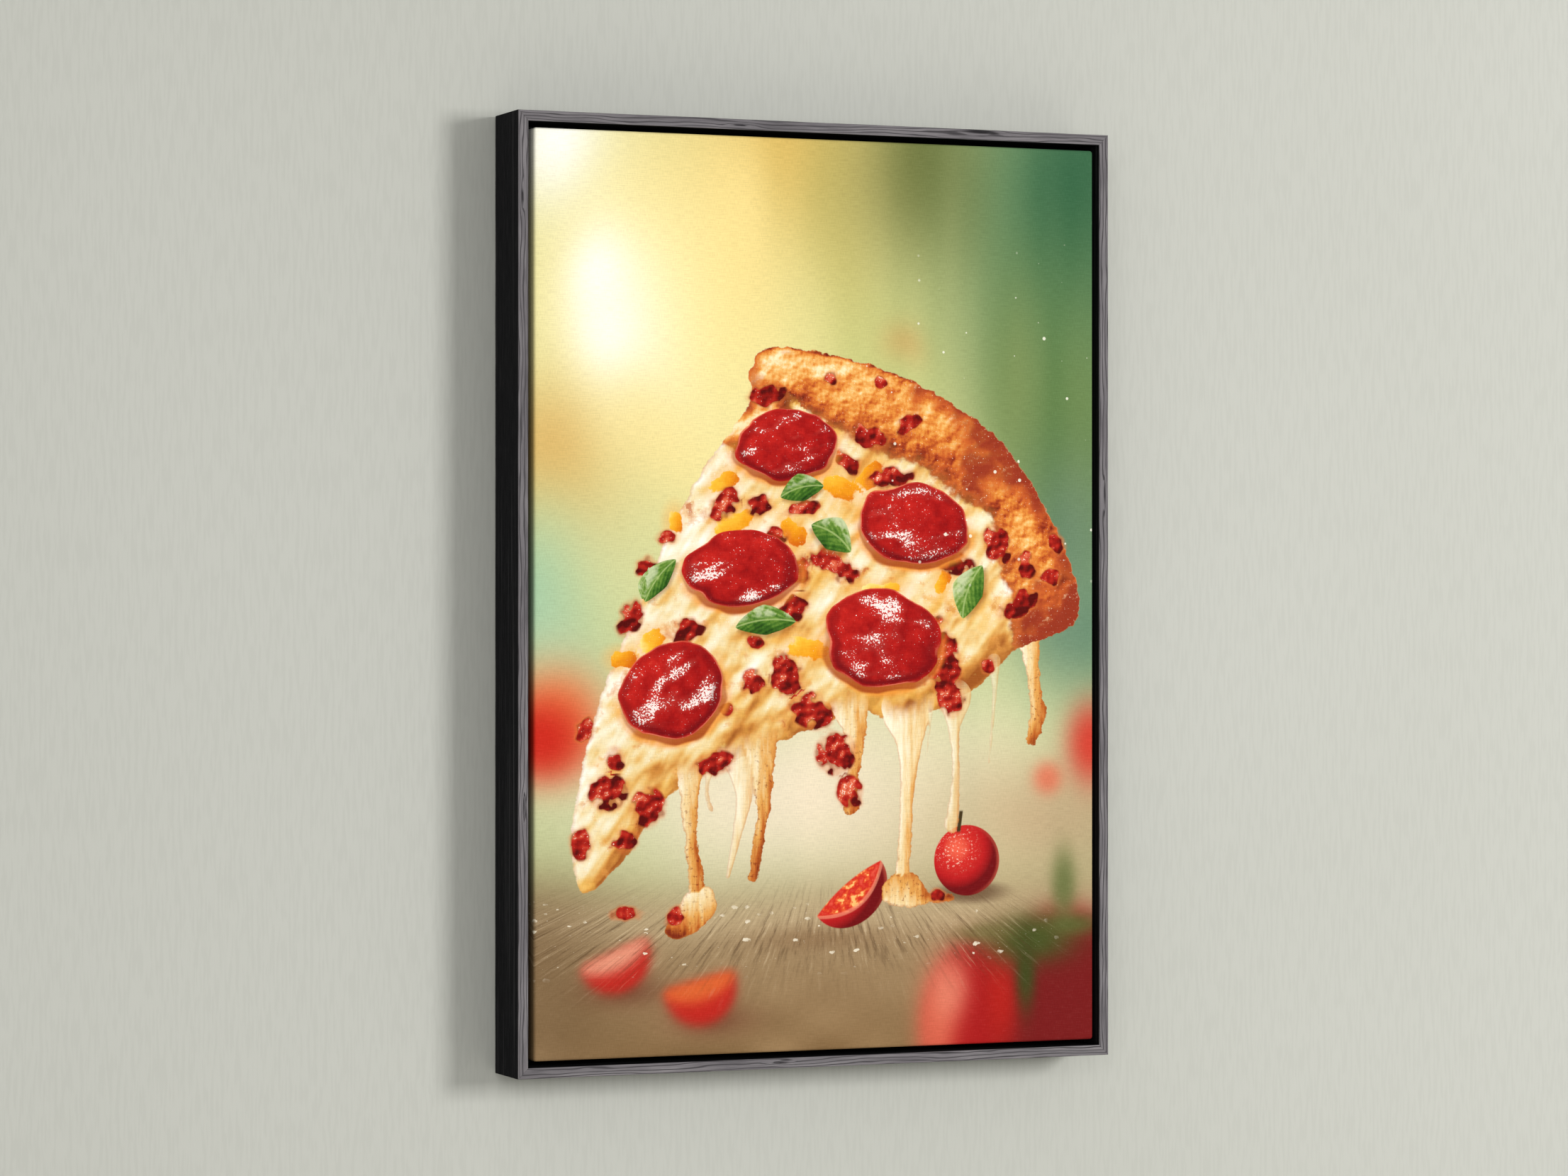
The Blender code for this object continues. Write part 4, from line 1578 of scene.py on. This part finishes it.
        hollow = board.least(radius.rise(0.99, 0.90), radius.rise(0.74, 0.90))
        colour = board.mix(hollow * (0.50 - q * 0.35), colour, tint(104, 8, 16))
        lip = board.least(radius.rise(0.955, 0.975), radius.rise(1.0, 0.985))
        colour = board.mix(lip * (0.34 + skew * 2.4), colour, tint(240, 132, 100))
        return board.mix(mask, under, colour)

    def dust_and_highlight(self, under: Socket) -> Socket:
        """Flour hanging in the light beside the crust.

        Args:
            under: the colour so far.

        Returns:
            The colour with the flour over it.
        """
        board = self.board
        off, own = board.cells(self.at, 22.0)
        fleck = ((own - 0.60) * 0.20 - off).rise(0.0, 0.03)
        side = (self.u + self.v * 0.16).rise(0.62, 0.84) * self.v.rise(0.72, 0.86) * self.v.rise(1.40, 1.15)
        return board.mix(fleck * side * 0.8, under, tint(248, 246, 226))

    def weave(self, colour: Socket) -> Material:
        """Prints the finished picture on the threads.

        Args:
            colour: the whole picture's colour.

        Returns:
            The material.
        """
        board = self.board
        pitch = self.thread / self.width
        warp = board.noise(board.join(self.u / pitch, self.v / (pitch * 7)), 1.0, 1.0)
        weft = board.noise(board.join(self.u / (pitch * 16), self.v / pitch + 31.0), 1.0, 1.0)
        threads = warp * 0.45 + weft * 0.55
        # Painted shade: the print darkened where the threads lie low, in the weave's hollows.
        colour = board.mix(threads.rise(0.62, 0.34) * 0.14, colour, tint(120, 112, 92), "MULTIPLY")
        # Painted highlight: a faint paler tint on the threads' tops.
        colour = board.mix(threads.rise(0.50, 0.72) * 0.010, colour, tint(255, 255, 250))
        return board.finish(
            {
                "Base Color": colour,
                "Roughness": 0.70 + threads * 0.2,
                "Specular IOR Level": 0.06,
                "Normal": board.bump(threads, 0.3, 0.0002),
            }
        )


@dataclass(frozen=True)
class RawCloth:
    """Unprinted cotton: the cloth's back and the margin folded behind the bars."""

    name: str = "raw_canvas"
    thread: float = 0.7 * MM

    def made(self) -> Material:
        """Builds the material from the piece's own coordinates.

        Returns:
            The material.
        """
        board = Board.fresh(self.name)
        x, y, z = board.split(board.place())
        depth = y / self.thread
        warp = board.noise(board.join(x / self.thread, z / (self.thread * 8), depth), 1.0, 1.0)
        weft = board.noise(board.join(x / (self.thread * 8), z / self.thread, depth), 1.0, 1.0)
        threads = warp * 0.5 + weft * 0.5
        cloud = board.noise(board.place(), 14.0, 3.0)
        colour = board.ramp(
            threads, [(0.32, tint(212, 203, 182)), (0.5, tint(226, 219, 200)), (0.68, tint(234, 229, 214))]
        )
        colour = board.mix(cloud.rise(0.45, 0.7) * 0.2, colour, tint(206, 196, 170))
        return board.finish(
            {
                "Base Color": colour,
                "Roughness": 0.85 + threads * 0.1,
                "Normal": board.bump(threads, 0.5, 0.0004),
            }
        )


# ---- the canvas


@dataclass
class ClothSkin:
    """Cloth laid outwards from a grid's border, ring after ring, with its places in the picture."""

    verts: list[Grid]
    spots: list[Grid]
    faces: list[tuple[int, ...]]
    numbers: list[int]
    ways: Grid
    middle: Grid
    half: Grid
    mirror: float

    def __post_init__(self) -> None:
        """Starts with the grid's own border as the last ring."""
        self.base = self.spots[0][self.numbers]
        self.ring = list(self.numbers)
        self.count = len(self.verts[0])

    def lay(self, out: float, y: float, run: float, shared: bool = False, inset: float = 0.0) -> None:
        """Lays one more ring, joined to the last.

        Args:
            out: how far it lies outside the front grid's border.
            y: its depth.
            run: the length of cloth from the front grid's border.
            shared: whether each corner is one point.
            inset: how far it lies inside the border instead, if shared.
        """
        if shared:
            fresh = [i == 0 or self.numbers[i - 1] != n for i, n in enumerate(self.numbers)]
            keep = [i for i, is_fresh in enumerate(fresh) if is_fresh]
            index = np.cumsum(fresh) - 1
            places = (self.base[keep] - self.middle) * (1 - inset / self.half) + self.middle
        else:
            keep = list(range(len(self.numbers)))
            index = np.arange(len(keep))
            places = self.base + self.ways * out
        self.verts.append(np.column_stack([places[:, 0], np.full(len(keep), y), places[:, 1]]))
        mirrored = run if run <= self.mirror else 2 * self.mirror - run
        self.spots.append(self.base[keep] + self.ways[keep] * mirrored)
        self._join([self.count + int(i) for i in index])
        self.count += len(keep)

    def _join(self, after: list[int]) -> None:
        """Fills the faces between the last ring and the next.

        Args:
            after: the next ring's point numbers.
        """
        for i in range(len(self.ring)):
            j = (i + 1) % len(self.ring)
            loop = list(dict.fromkeys((self.ring[i], self.ring[j], after[j], after[i])))
            if len(loop) > 2:
                self.faces.append(tuple(loop))
        self.ring = after

    def close(self) -> None:
        """Closes the last ring with one face."""
        self.faces.append(tuple(dict.fromkeys(self.ring)))


@dataclass
class StretchedCanvas:
    """The cloth: a closed thin sheet over the bars' front and sides, folded in behind them."""

    cloth: float = 0.5 * MM
    margin: float = 27.0 * MM
    edge_radius: float = 2.0 * MM
    back_radius: float = 0.9 * MM
    fine_pitch: float = 1.75 * MM
    coarse_pitch: float = 3.6 * MM
    fine_band: Point = (0.19, 1.18)
    slack: float = 0.16 * MM
    taut_edge: float = 30.0 * MM
    corner_steps: int = 4
    ledge_edge: float = 16.8 * MM
    fold_reach: float = 17.0 * MM
    fold_slant: float = 1.5
    fold_past: float = 0.6 * MM
    fold_layers: tuple[Point, ...] = ((-0.2 * MM, 0.0), (0.35 * MM, 0.0), (0.55 * MM, 0.35 * MM))
    sway_cells: Point = (120.0 * MM, 45.0 * MM)
    margin_rings: tuple[float, ...] = (0.0, 5.0 * MM, 12.0 * MM, 19.0 * MM)
    inner_ring: float = 9.0 * MM
    box: Box = field(default_factory=lambda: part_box("canvas"))
    picture: Picture = field(default_factory=Picture)

    def columns(self) -> Grid:
        """The front grid's places across."""
        low, high = self.box[0].x + self.edge_radius, self.box[1].x - self.edge_radius
        return np.linspace(low, high, round((high - low) / self.fine_pitch) + 1)

    def rows(self) -> Grid:
        """The front grid's heights, closer together where the slice is.

        Returns:
            The heights, from the lowest.
        """
        low, high = self.box[0].z + self.edge_radius, self.box[1].z - self.edge_radius
        width = self.box[1].x - self.box[0].x
        first, last = (self.box[0].z + share * width for share in self.fine_band)
        fine, coarse = self.fine_pitch, self.coarse_pitch
        stretches = ((low, first, coarse), (first, last, fine), (last, high, coarse))
        found = [np.linspace(a, b, round((b - a) / pitch) + 1)[:-1] for a, b, pitch in stretches]
        return np.concatenate([*found, [high]])

    def border(self, nx: int, nz: int) -> tuple[list[int], Grid]:
        """The front grid's border, with each corner repeated for its rounding.

        Args:
            nx, nz: the grid's counts.

        Returns:
            The grid's point numbers in order round the border, and the way out of each.
        """
        walk = (
            (list(range(nx)), (0, -1)),
            ([j * nx + nx - 1 for j in range(nz)], (1, 0)),
            ([(nz - 1) * nx + i for i in reversed(range(nx))], (0, 1)),
            ([j * nx for j in reversed(range(nz))], (-1, 0)),
        )
        numbers, ways = [], []
        for k, (line, way) in enumerate(walk):
            before = walk[k - 1][1]
            for step in range(self.corner_steps):
                turn = step / self.corner_steps * math.pi / 2
                c, s = math.cos(turn), math.sin(turn)
                ways.append((before[0] * c + way[0] * s, before[1] * c + way[1] * s))
                numbers.append(line[0])
            numbers += line[:-1]
            ways += [way] * (len(line) - 1)
        return numbers, np.array(ways, float)

    @property
    def side_length(self) -> float:
        """The flat length of cloth down each side."""
        return self.box[1].y - self.back_radius - (self.box[0].y + self.edge_radius)

    @property
    def turned_at(self) -> float:
        """The length of cloth from the front grid's border to the turn behind the bars."""
        return self.edge_radius * math.pi / 2 + self.side_length

    def front(self) -> ClothSkin:
        """The cloth's front, a grid that sways a little between the bars.

        Returns:
            The grid, ready for the rings round it.
        """
        low, high = self.box
        xs, zs = self.columns(), self.rows()
        nx, nz = len(xs), len(zs)
        gx, gz = (a.ravel() for a in np.meshgrid(xs, zs))
        middle_z = (low.z + high.z) / 2
        half = np.array([xs[-1], zs[-1] - middle_z])
        edge = np.minimum(half[0] - abs(gx), half[1] - abs(gz - middle_z)) / self.taut_edge
        wide, narrow = self.sway_cells
        sway = lattice(gx, gz, wide, 21) + 0.5 * lattice(gx, gz, narrow, 22) - 0.75
        gy = low.y + self.slack * sway * np.clip(edge, 0, 1)
        faces = [
            (j * nx + i, j * nx + i + 1, (j + 1) * nx + i + 1, (j + 1) * nx + i)
            for j in range(nz - 1)
            for i in range(nx - 1)
        ]
        numbers, ways = self.border(nx, nz)
        return ClothSkin(
            verts=[np.column_stack([gx, gy, gz])],
            spots=[np.column_stack([gx, gz])],
            faces=faces,
            numbers=numbers,
            ways=ways,
            middle=np.array([0.0, middle_z]),
            half=half,
            mirror=self.edge_radius,
        )

    def wrap(self, skin: ClothSkin) -> None:
        """Lays the cloth over the front edge, down the sides and round the back edge.

        Args:
            skin: the cloth so far.
        """
        low, high = self.box
        radius, back_radius = self.edge_radius, self.back_radius
        for turn in np.linspace(0, math.pi / 2, 6)[1:]:
            y = low.y + radius * (1 - math.cos(turn))
            skin.lay(radius * math.sin(turn), y, radius * turn)
        for share in np.linspace(0, 1, 10)[1:]:
            down = self.side_length * share
            skin.lay(radius, low.y + radius + down, radius * math.pi / 2 + down)
        for turn in np.linspace(0, math.pi / 2, 4)[1:]:
            out = radius - back_radius * (1 - math.cos(turn))
            y = high.y - back_radius + back_radius * math.sin(turn)
            skin.lay(out, y, self.turned_at + back_radius * turn)

    def turn_in(self, skin: ClothSkin) -> None:
        """Lays the margin flat behind the bars, and the cloth's inner side back to the front.

        Args:
            skin: the cloth so far.
        """
        low, high = self.box
        run, end = self.turned_at, self.margin - self.edge_radius
        for inset in (*self.margin_rings, end):
            skin.lay(0, high.y, run, shared=True, inset=inset)
        for inset in (end, self.inner_ring, 0.0):
            skin.lay(0, high.y - self.cloth, run, shared=True, inset=inset)
        inner = self.edge_radius - self.cloth
        bend = low.y + self.edge_radius
        skin.lay(inner, high.y - self.cloth, run)
        skin.lay(inner, bend, run)
        for turn in np.linspace(math.pi / 2, 0, 4)[1:-1]:
            skin.lay(inner * math.sin(turn), bend - inner * math.cos(turn), run)
        skin.lay(0, low.y + self.cloth, run, shared=True)
        skin.close()

    def build(self) -> None:
        """Makes the canvas and its folded corners in place of its solid."""
        low, high = self.box
        skin = self.front()
        self.wrap(skin)
        printed = len(skin.faces)
        self.turn_in(skin)
        mesh = mesh_of("canvas_cloth", np.concatenate(skin.verts).tolist(), skin.faces, 60.0)
        raw = np.ones(len(skin.faces), np.int32)
        raw[:printed] = 0
        width = high.x - low.x
        spot = np.concatenate(skin.spots)
        self.picture.stored_on(mesh, (spot[:, 0] - low.x) / width, (spot[:, 1] - low.z) / width)
        piece = add_piece("canvas_cloth", mesh, [PrintedCloth().made(), RawCloth().made()])
        mesh.polygons.foreach_set("material_index", raw)
        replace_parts(piece, "canvas")
        self.declare(self.corner_folds())

    def corner_folds(self) -> list[Piece]:
        """The doubled cloth where the margins overlap at each corner behind the bars.

        Returns:
            The four folds.
        """
        low, high = self.box
        finish = RawCloth("raw_canvas_fold").made()
        made = []
        start, end = self.ledge_edge + self.cloth, self.margin + self.fold_past
        foot = start + self.fold_reach * self.fold_slant
        outline = ((start, start), (end, end), (end + self.fold_reach, end), (foot, start))
        for across in Side.LEFT, Side.RIGHT:
            for up in Side.TOP, Side.BOTTOM:
                edge_x = high.x if across is Side.RIGHT else low.x
                edge_z = high.z if up is Side.TOP else low.z
                verts = []
                for depth, shrink in self.fold_layers:
                    for ix, iz in outline:
                        x = edge_x - across.outward * (ix + shrink * (1 if ix < end else -1))
                        z = edge_z - up.outward * (iz + shrink * (1 if iz < end else -1))
                        verts.append((x, high.y + depth, z))
                faces = [(0, 1, 2, 3), (8, 9, 10, 11)]
                for layer in (0, 4):
                    for i in range(4):
                        j = (i + 1) % 4
                        faces.append((layer + i, layer + j, layer + 4 + j, layer + 4 + i))
                name = f"corner_fold_{up.value}_{across.value}"
                made.append(add_piece(name, mesh_of(name, verts, faces, 20.0), [finish]))
        return made

    def declare(self, folds: list[Piece]) -> None:
        """Reads the canvas's box, and does nothing else.

        Args:
            folds: its folded corners; not used.
        """
        low, high = self.box


# ---- fixings


@dataclass(frozen=True)
class ZincSteel:
    """Bright zinc plate with a faint haze and fine scratches."""

    name: str = "zinc_steel"

    def made(self) -> Material:
        """Builds the material from the piece's own coordinates.

        Returns:
            The material.
        """
        board = Board.fresh(self.name)
        where = board.place()
        haze = board.noise(where, 380.0, 3.0)
        scratch = board.noise(board.scaled(where, (2600.0, 2600.0, 300.0)), 1.0, 2.0)
        colour = board.ramp(
            haze, [(0.3, tint(150, 150, 146)), (0.5, tint(186, 186, 180)), (0.7, tint(208, 206, 196))]
        )
        return board.finish(
            {
                "Base Color": colour,
                "Metallic": 1.0,
                "Roughness": 0.24 + haze * 0.16 + scratch * 0.1,
                "Normal": board.bump(scratch, 0.2, 0.0001),
            }
        )


@dataclass(frozen=True)
class PadFelt:
    """Dense black felt with loose fibres."""

    name: str = "pad_felt"

    def made(self) -> Material:
        """Builds the material from the piece's own coordinates.

        Returns:
            The material.
        """
        board = Board.fresh(self.name)
        where = board.place()
        fuzz = board.noise(where, 2200.0, 4.0, 0.7)
        colour = board.ramp(
            fuzz, [(0.35, tint(24, 24, 25)), (0.55, tint(48, 47, 48)), (0.72, tint(92, 90, 90))]
        )
        return board.finish(
            {"Base Color": colour, "Roughness": 0.9 + fuzz * 0.08, "Normal": board.bump(fuzz, 0.7, 0.0005)}
        )


@dataclass
class Fixings:
    """What holds the picture together and to the wall: screws, staples, hanger and felt pads."""

    staple_width: float = 10.0 * MM
    staple_wire: float = 0.55 * MM
    staple_spacing: float = 46.0 * MM
    staple_inset: float = 22.0 * MM
    staple_leg: float = 0.9 * MM
    staple_bend: float = 0.5 * MM
    staple_end_gap: float = 16.0 * MM
    staple_drift: float = 2.5 * MM
    staple_tilt: float = 0.10
    wire_sides: int = 8
    head_dome: float = 2.0 * MM
    head_rings: int = 18
    shank_share: float = 0.47
    tip_share: float = 0.4
    tip_length: float = 2.4 * MM
    head_turns: int = 40
    recess_half: float = 0.55 * MM
    recess_reach: float = 2.1 * MM
    recess_depth: float = 0.9 * MM
    steel: Material = field(default_factory=lambda: ZincSteel().made())

    def build(self) -> None:
        """Dresses every fixing."""
        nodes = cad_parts
        self.screws([name for name in nodes if name.startswith("screw_")])
        self.staples()
        felt = PadFelt().made()
        for name, node in nodes.items():
            if name.startswith("hanger"):
                self.dress(node, self.steel)
            if name.startswith("pad_"):
                self.dress(node, felt)

    @staticmethod
    def dress(node: Piece, finish: Material) -> None:
        """Gives a solid that stays in view its finish.

        Args:
            node: the solid.
            finish: its material.
        """
        for slot in node.material_slots:
            slot.material = finish
        log.info("%s: dressed", node.name)

    def head_height(self, radius: float, turn: float, rim: float, dome: float) -> float:
        """The height of a screw head's surface, with its cross recess.

        Args:
            radius, turn: the place on the head.
            rim: the head's radius.
            dome: the head's height.

        Returns:
            The height above the seat.
        """
        height = dome * math.sqrt(max(0.0, 1 - (radius / rim) ** 2) * 0.9 + 0.1)
        x, z = radius * math.cos(turn), radius * math.sin(turn)
        arm, across = max(abs(x), abs(z)), min(abs(x), abs(z))
        if arm < self.recess_reach and across < self.recess_half * (1.25 - 0.5 * arm / self.recess_reach):
            height -= self.recess_depth * (1 - 0.45 * arm / self.recess_reach)
        return height

    def screws(self, names: Sequence[str]) -> None:
        """Replaces each plain screw by one with a cross-recessed head.

        Args:
            names: the screws' nodes.
        """
        for name in names:
            low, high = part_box(name)
            middle = (low + high) / 2
            rim = (high.x - low.x) / 2
            dome = self.head_dome
            seat = high.y - dome
            turns = [2 * math.pi * k / self.head_turns for k in range(self.head_turns)]
            verts = [(middle.x, seat + self.head_height(0.0, 0.0, rim, dome), middle.z)]
            for step in range(1, self.head_rings + 1):
                radius = rim * step / self.head_rings
                for t in turns:
                    y = seat + self.head_height(radius, t, rim, dome)
                    verts.append((middle.x + radius * math.cos(t), y, middle.z + radius * math.sin(t)))
            shank = rim * self.shank_share
            tip = shank * self.tip_share
            for radius, y in ((rim, seat), (shank, seat), (shank, low.y + self.tip_length), (tip, low.y)):
                for t in turns:
                    verts.append((middle.x + radius * math.cos(t), y, middle.z + radius * math.sin(t)))
            count, levels = self.head_turns, self.head_rings + 4
            faces = [(0, 1 + i, 1 + (i + 1) % count) for i in range(count)]
            for level in range(levels - 1):
                start = 1 + level * count
                faces += [
                    (start + i, start + (i + 1) % count, start + count + (i + 1) % count, start + count + i)
                    for i in range(count)
                ]
            faces.append(tuple(range(1 + (levels - 1) * count, 1 + levels * count)))
            mesh = mesh_of(name, verts, faces, 32.0)
            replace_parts(add_piece(f"steel_{name}", mesh, [self.steel]), name)

    def staple_loop(self) -> list[tuple[float, float, float]]:
        """A staple's path: (along, depth, turn of the wire).

        Returns:
            The path's points.
        """
        half, leg, bend = self.staple_width / 2, self.staple_leg, self.staple_bend
        top = self.staple_wire * 0.55
        return [
            (-half, -leg, 90.0),
            (-half, top - bend, 90.0),
            (-half + bend * 0.35, top - bend * 0.3, 45.0),
            (-half + bend, top, 0.0),
            (half - bend, top, 0.0),
            (half - bend * 0.35, top - bend * 0.3, -45.0),
            (half, top - bend, -90.0),
            (half, -leg, -90.0),
        ]

    def staples(self) -> None:
        """Staples through the folded margin, all round."""
        low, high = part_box("canvas")
        back = high.y
        rim = self.wire_sides
        verts, faces = [], []
        inset_x, inset_z = high.x - self.staple_inset, (high.z - low.z) / 2 - self.staple_inset
        middle_z = (high.z + low.z) / 2
        for side in Side:
            reach = (inset_z if side.upright else inset_x) - self.staple_end_gap
            count = round(2 * reach / self.staple_spacing)
            for k in range(count + 1):
                drift = self.staple_drift * math.sin(k * 2.7 + len(side.value))
                along = reach * (2 * k / count - 1) + drift
                tilt = self.staple_tilt * math.sin(k * 1.9 + 3 * len(side.value))
                start = len(verts)
                for s, depth, turn in self.staple_loop():
                    for r in range(rim):
                        a = 2 * math.pi * r / rim
                        flat = self.staple_wire * 0.5 * math.cos(a)
                        wide = self.staple_wire * 0.95 * math.sin(a)
                        lean = math.radians(turn)
                        ds = s - flat * math.sin(lean)
                        dy = depth + flat * math.cos(lean)
                        run, off = ds - wide * tilt, wide + ds * tilt
                        if side.upright:
                            verts.append((side.outward * inset_x + off, back + dy, middle_z + along + run))
                        else:
                            verts.append((along + run, back + dy, middle_z + side.outward * inset_z + off))
                steps = len(self.staple_loop())
                for i in range(steps - 1):
                    for r in range(rim):
                        n = (r + 1) % rim
                        first, second = start + i * rim, start + (i + 1) * rim
                        faces.append((first + r, first + n, second + n, second + r))
                faces.append(tuple(start + r for r in range(rim)))
                faces.append(tuple(start + (steps - 1) * rim + r for r in range(rim)))
        add_piece("staples", mesh_of("staples", verts, faces, 50.0), [self.steel])


# ---- wall and light


@dataclass(frozen=True)
class RoomPaint:
    """Matt paint with a faint roller texture, seen only from its painted side if one_sided."""

    name: str
    colour: Colour
    one_sided: bool = False

    def made(self) -> Material:
        """Builds the material.

        Returns:
            The material.
        """
        board = Board.fresh(self.name)
        where = board.place()
        cloud = board.noise(where, 1.3, 2.0)
        nap = board.noise(board.scaled(where, (420.0, 420.0, 42.0)), 1.0, 3.0)
        colour = board.mix(cloud.rise(0.3, 0.7) * 0.05, self.colour, (1.0, 1.0, 1.0))
        colour = board.mix(nap.rise(0.56, 0.40) * 0.06, colour, tint(120, 122, 112))
        paint = board.node(
            "ShaderNodeBsdfPrincipled",
            None,
            {"Base Color": colour, "Roughness": 0.9, "Normal": board.bump(nap, 0.15, 0.0004)},
        )
        surface = paint.outputs[0]
        if self.one_sided:
            behind = board.node("ShaderNodeNewGeometry").outputs["Backfacing"]
            clear = board.node("ShaderNodeBsdfTransparent").outputs[0]
            surface = board.node("ShaderNodeMixShader", None, {0: behind, 1: surface, 2: clear}).outputs[0]
        board.node("ShaderNodeOutputMaterial", None, {"Surface": surface})
        return board.material


@dataclass
class Studio:
    """The pale wall that the picture hangs on, the floor below, the lights and the camera."""

    wall_half: float = 4.0
    floor_drop: float = 1.15
    middle: tuple[float, float, float] = (0.0, 0.0, -0.3)
    air_strength: float = 0.42
    wall_colour: Colour = tint(187, 188, 180)
    floor_colour: Colour = tint(206, 204, 197)
    camera_place: tuple[float, float, float] = (-1.2002, -2.8621, -0.3081)
    camera_turn: float = 22.637
    camera_tilt: float = 0.215
    lens: float = 104.98

    def plane(self, name: str, corners: Sequence, finish: Material) -> Piece:
        """One flat stage surface.

        Args:
            name: its name.
            corners: its four corners.
            finish: its material.

        Returns:
            The surface.
        """
        made = bpy.data.meshes.new(name)
        made.from_pydata(corners, [], [(0, 1, 2, 3)])
        made.materials.append(finish)
        piece = bpy.data.objects.new(name, made)
        bpy.context.scene.collection.objects.link(piece)
        return piece

    def lamp(self, name: str, place: Sequence[float], size: float, power: float, warm: Colour) -> None:
        """One soft square light, aimed at the picture's middle.

        Args:
            name: the light's name.
            place: where it stands.
            size: its width.
            power: its power in watts.
            warm: its colour.
        """
        data = bpy.data.lights.new(name, "AREA")
        data.shape = "RECTANGLE"
        data.size = data.size_y = size
        data.energy = power
        data.color = warm
        made = bpy.data.objects.new(name, data)
        made.location = place
        made.rotation_euler = (Vector(self.middle) - Vector(place)).to_track_quat("-Z", "Y").to_euler()
        bpy.context.scene.collection.objects.link(made)

    def build(self) -> None:
        """Sets the whole stage."""
        half = self.wall_half
        floor = CAD_BOX[0][2] - self.floor_drop
        wall_paint = RoomPaint("wall_paint", self.wall_colour, one_sided=True).made()
        wall = [(-half, 0.0, floor), (half, 0.0, floor), (half, 0.0, half), (-half, 0.0, half)]
        self.plane("stage_wall", wall, wall_paint).visible_shadow = False
        floor_paint = RoomPaint("floor_paint", self.floor_colour).made()
        near = -half * 2
        ground = [(-half, near, floor), (half, near, floor), (half, half, floor), (-half, half, floor)]
        self.plane("stage_floor", ground, floor_paint)
        self.lamp("key_light", (1.7, -2.75, 0.1), 0.8, 64.5, (1.0, 0.995, 0.985))
        self.lamp("fill_light", (-1.5, -3.4, 0.2), 1.8, 32.5, (1.0, 1.0, 1.0))
        self.lamp("back_light", (-1.6, 2.4, 1.0), 2.0, 60.0, (1.0, 0.99, 0.97))
        world = bpy.data.worlds.new("studio_air")
        world.use_nodes = True
        air = world.node_tree.nodes["Background"]
        air.inputs["Color"].default_value = (1.0, 1.0, 0.99, 1.0)
        air.inputs["Strength"].default_value = self.air_strength
        bpy.context.scene.world = world
        self.camera()
        bpy.context.scene.view_settings.view_transform = "Standard"
        bpy.context.scene.view_settings.look = "None"

    def camera(self) -> None:
        """The camera, level with the picture's middle and to the left of it."""
        data = bpy.data.cameras.new("camera")
        data.lens = self.lens
        data.sensor_width = 36.0
        made = bpy.data.objects.new("camera", data)
        made.location = self.camera_place
        turn = -math.radians(self.camera_turn)
        made.rotation_euler = (math.radians(90.0 + self.camera_tilt), 0.0, turn)
        bpy.context.scene.collection.objects.link(made)
        bpy.context.scene.camera = made


def main() -> None:
    """Builds the looks in order."""
    logging.basicConfig(level=logging.INFO, format="%(name)s: %(message)s")
    Studio().build()
    FloaterFrame().build()
    StretcherBars().build()
    StretchedCanvas().build()
    Fixings().build()


if __name__ == "__main__":
    main()
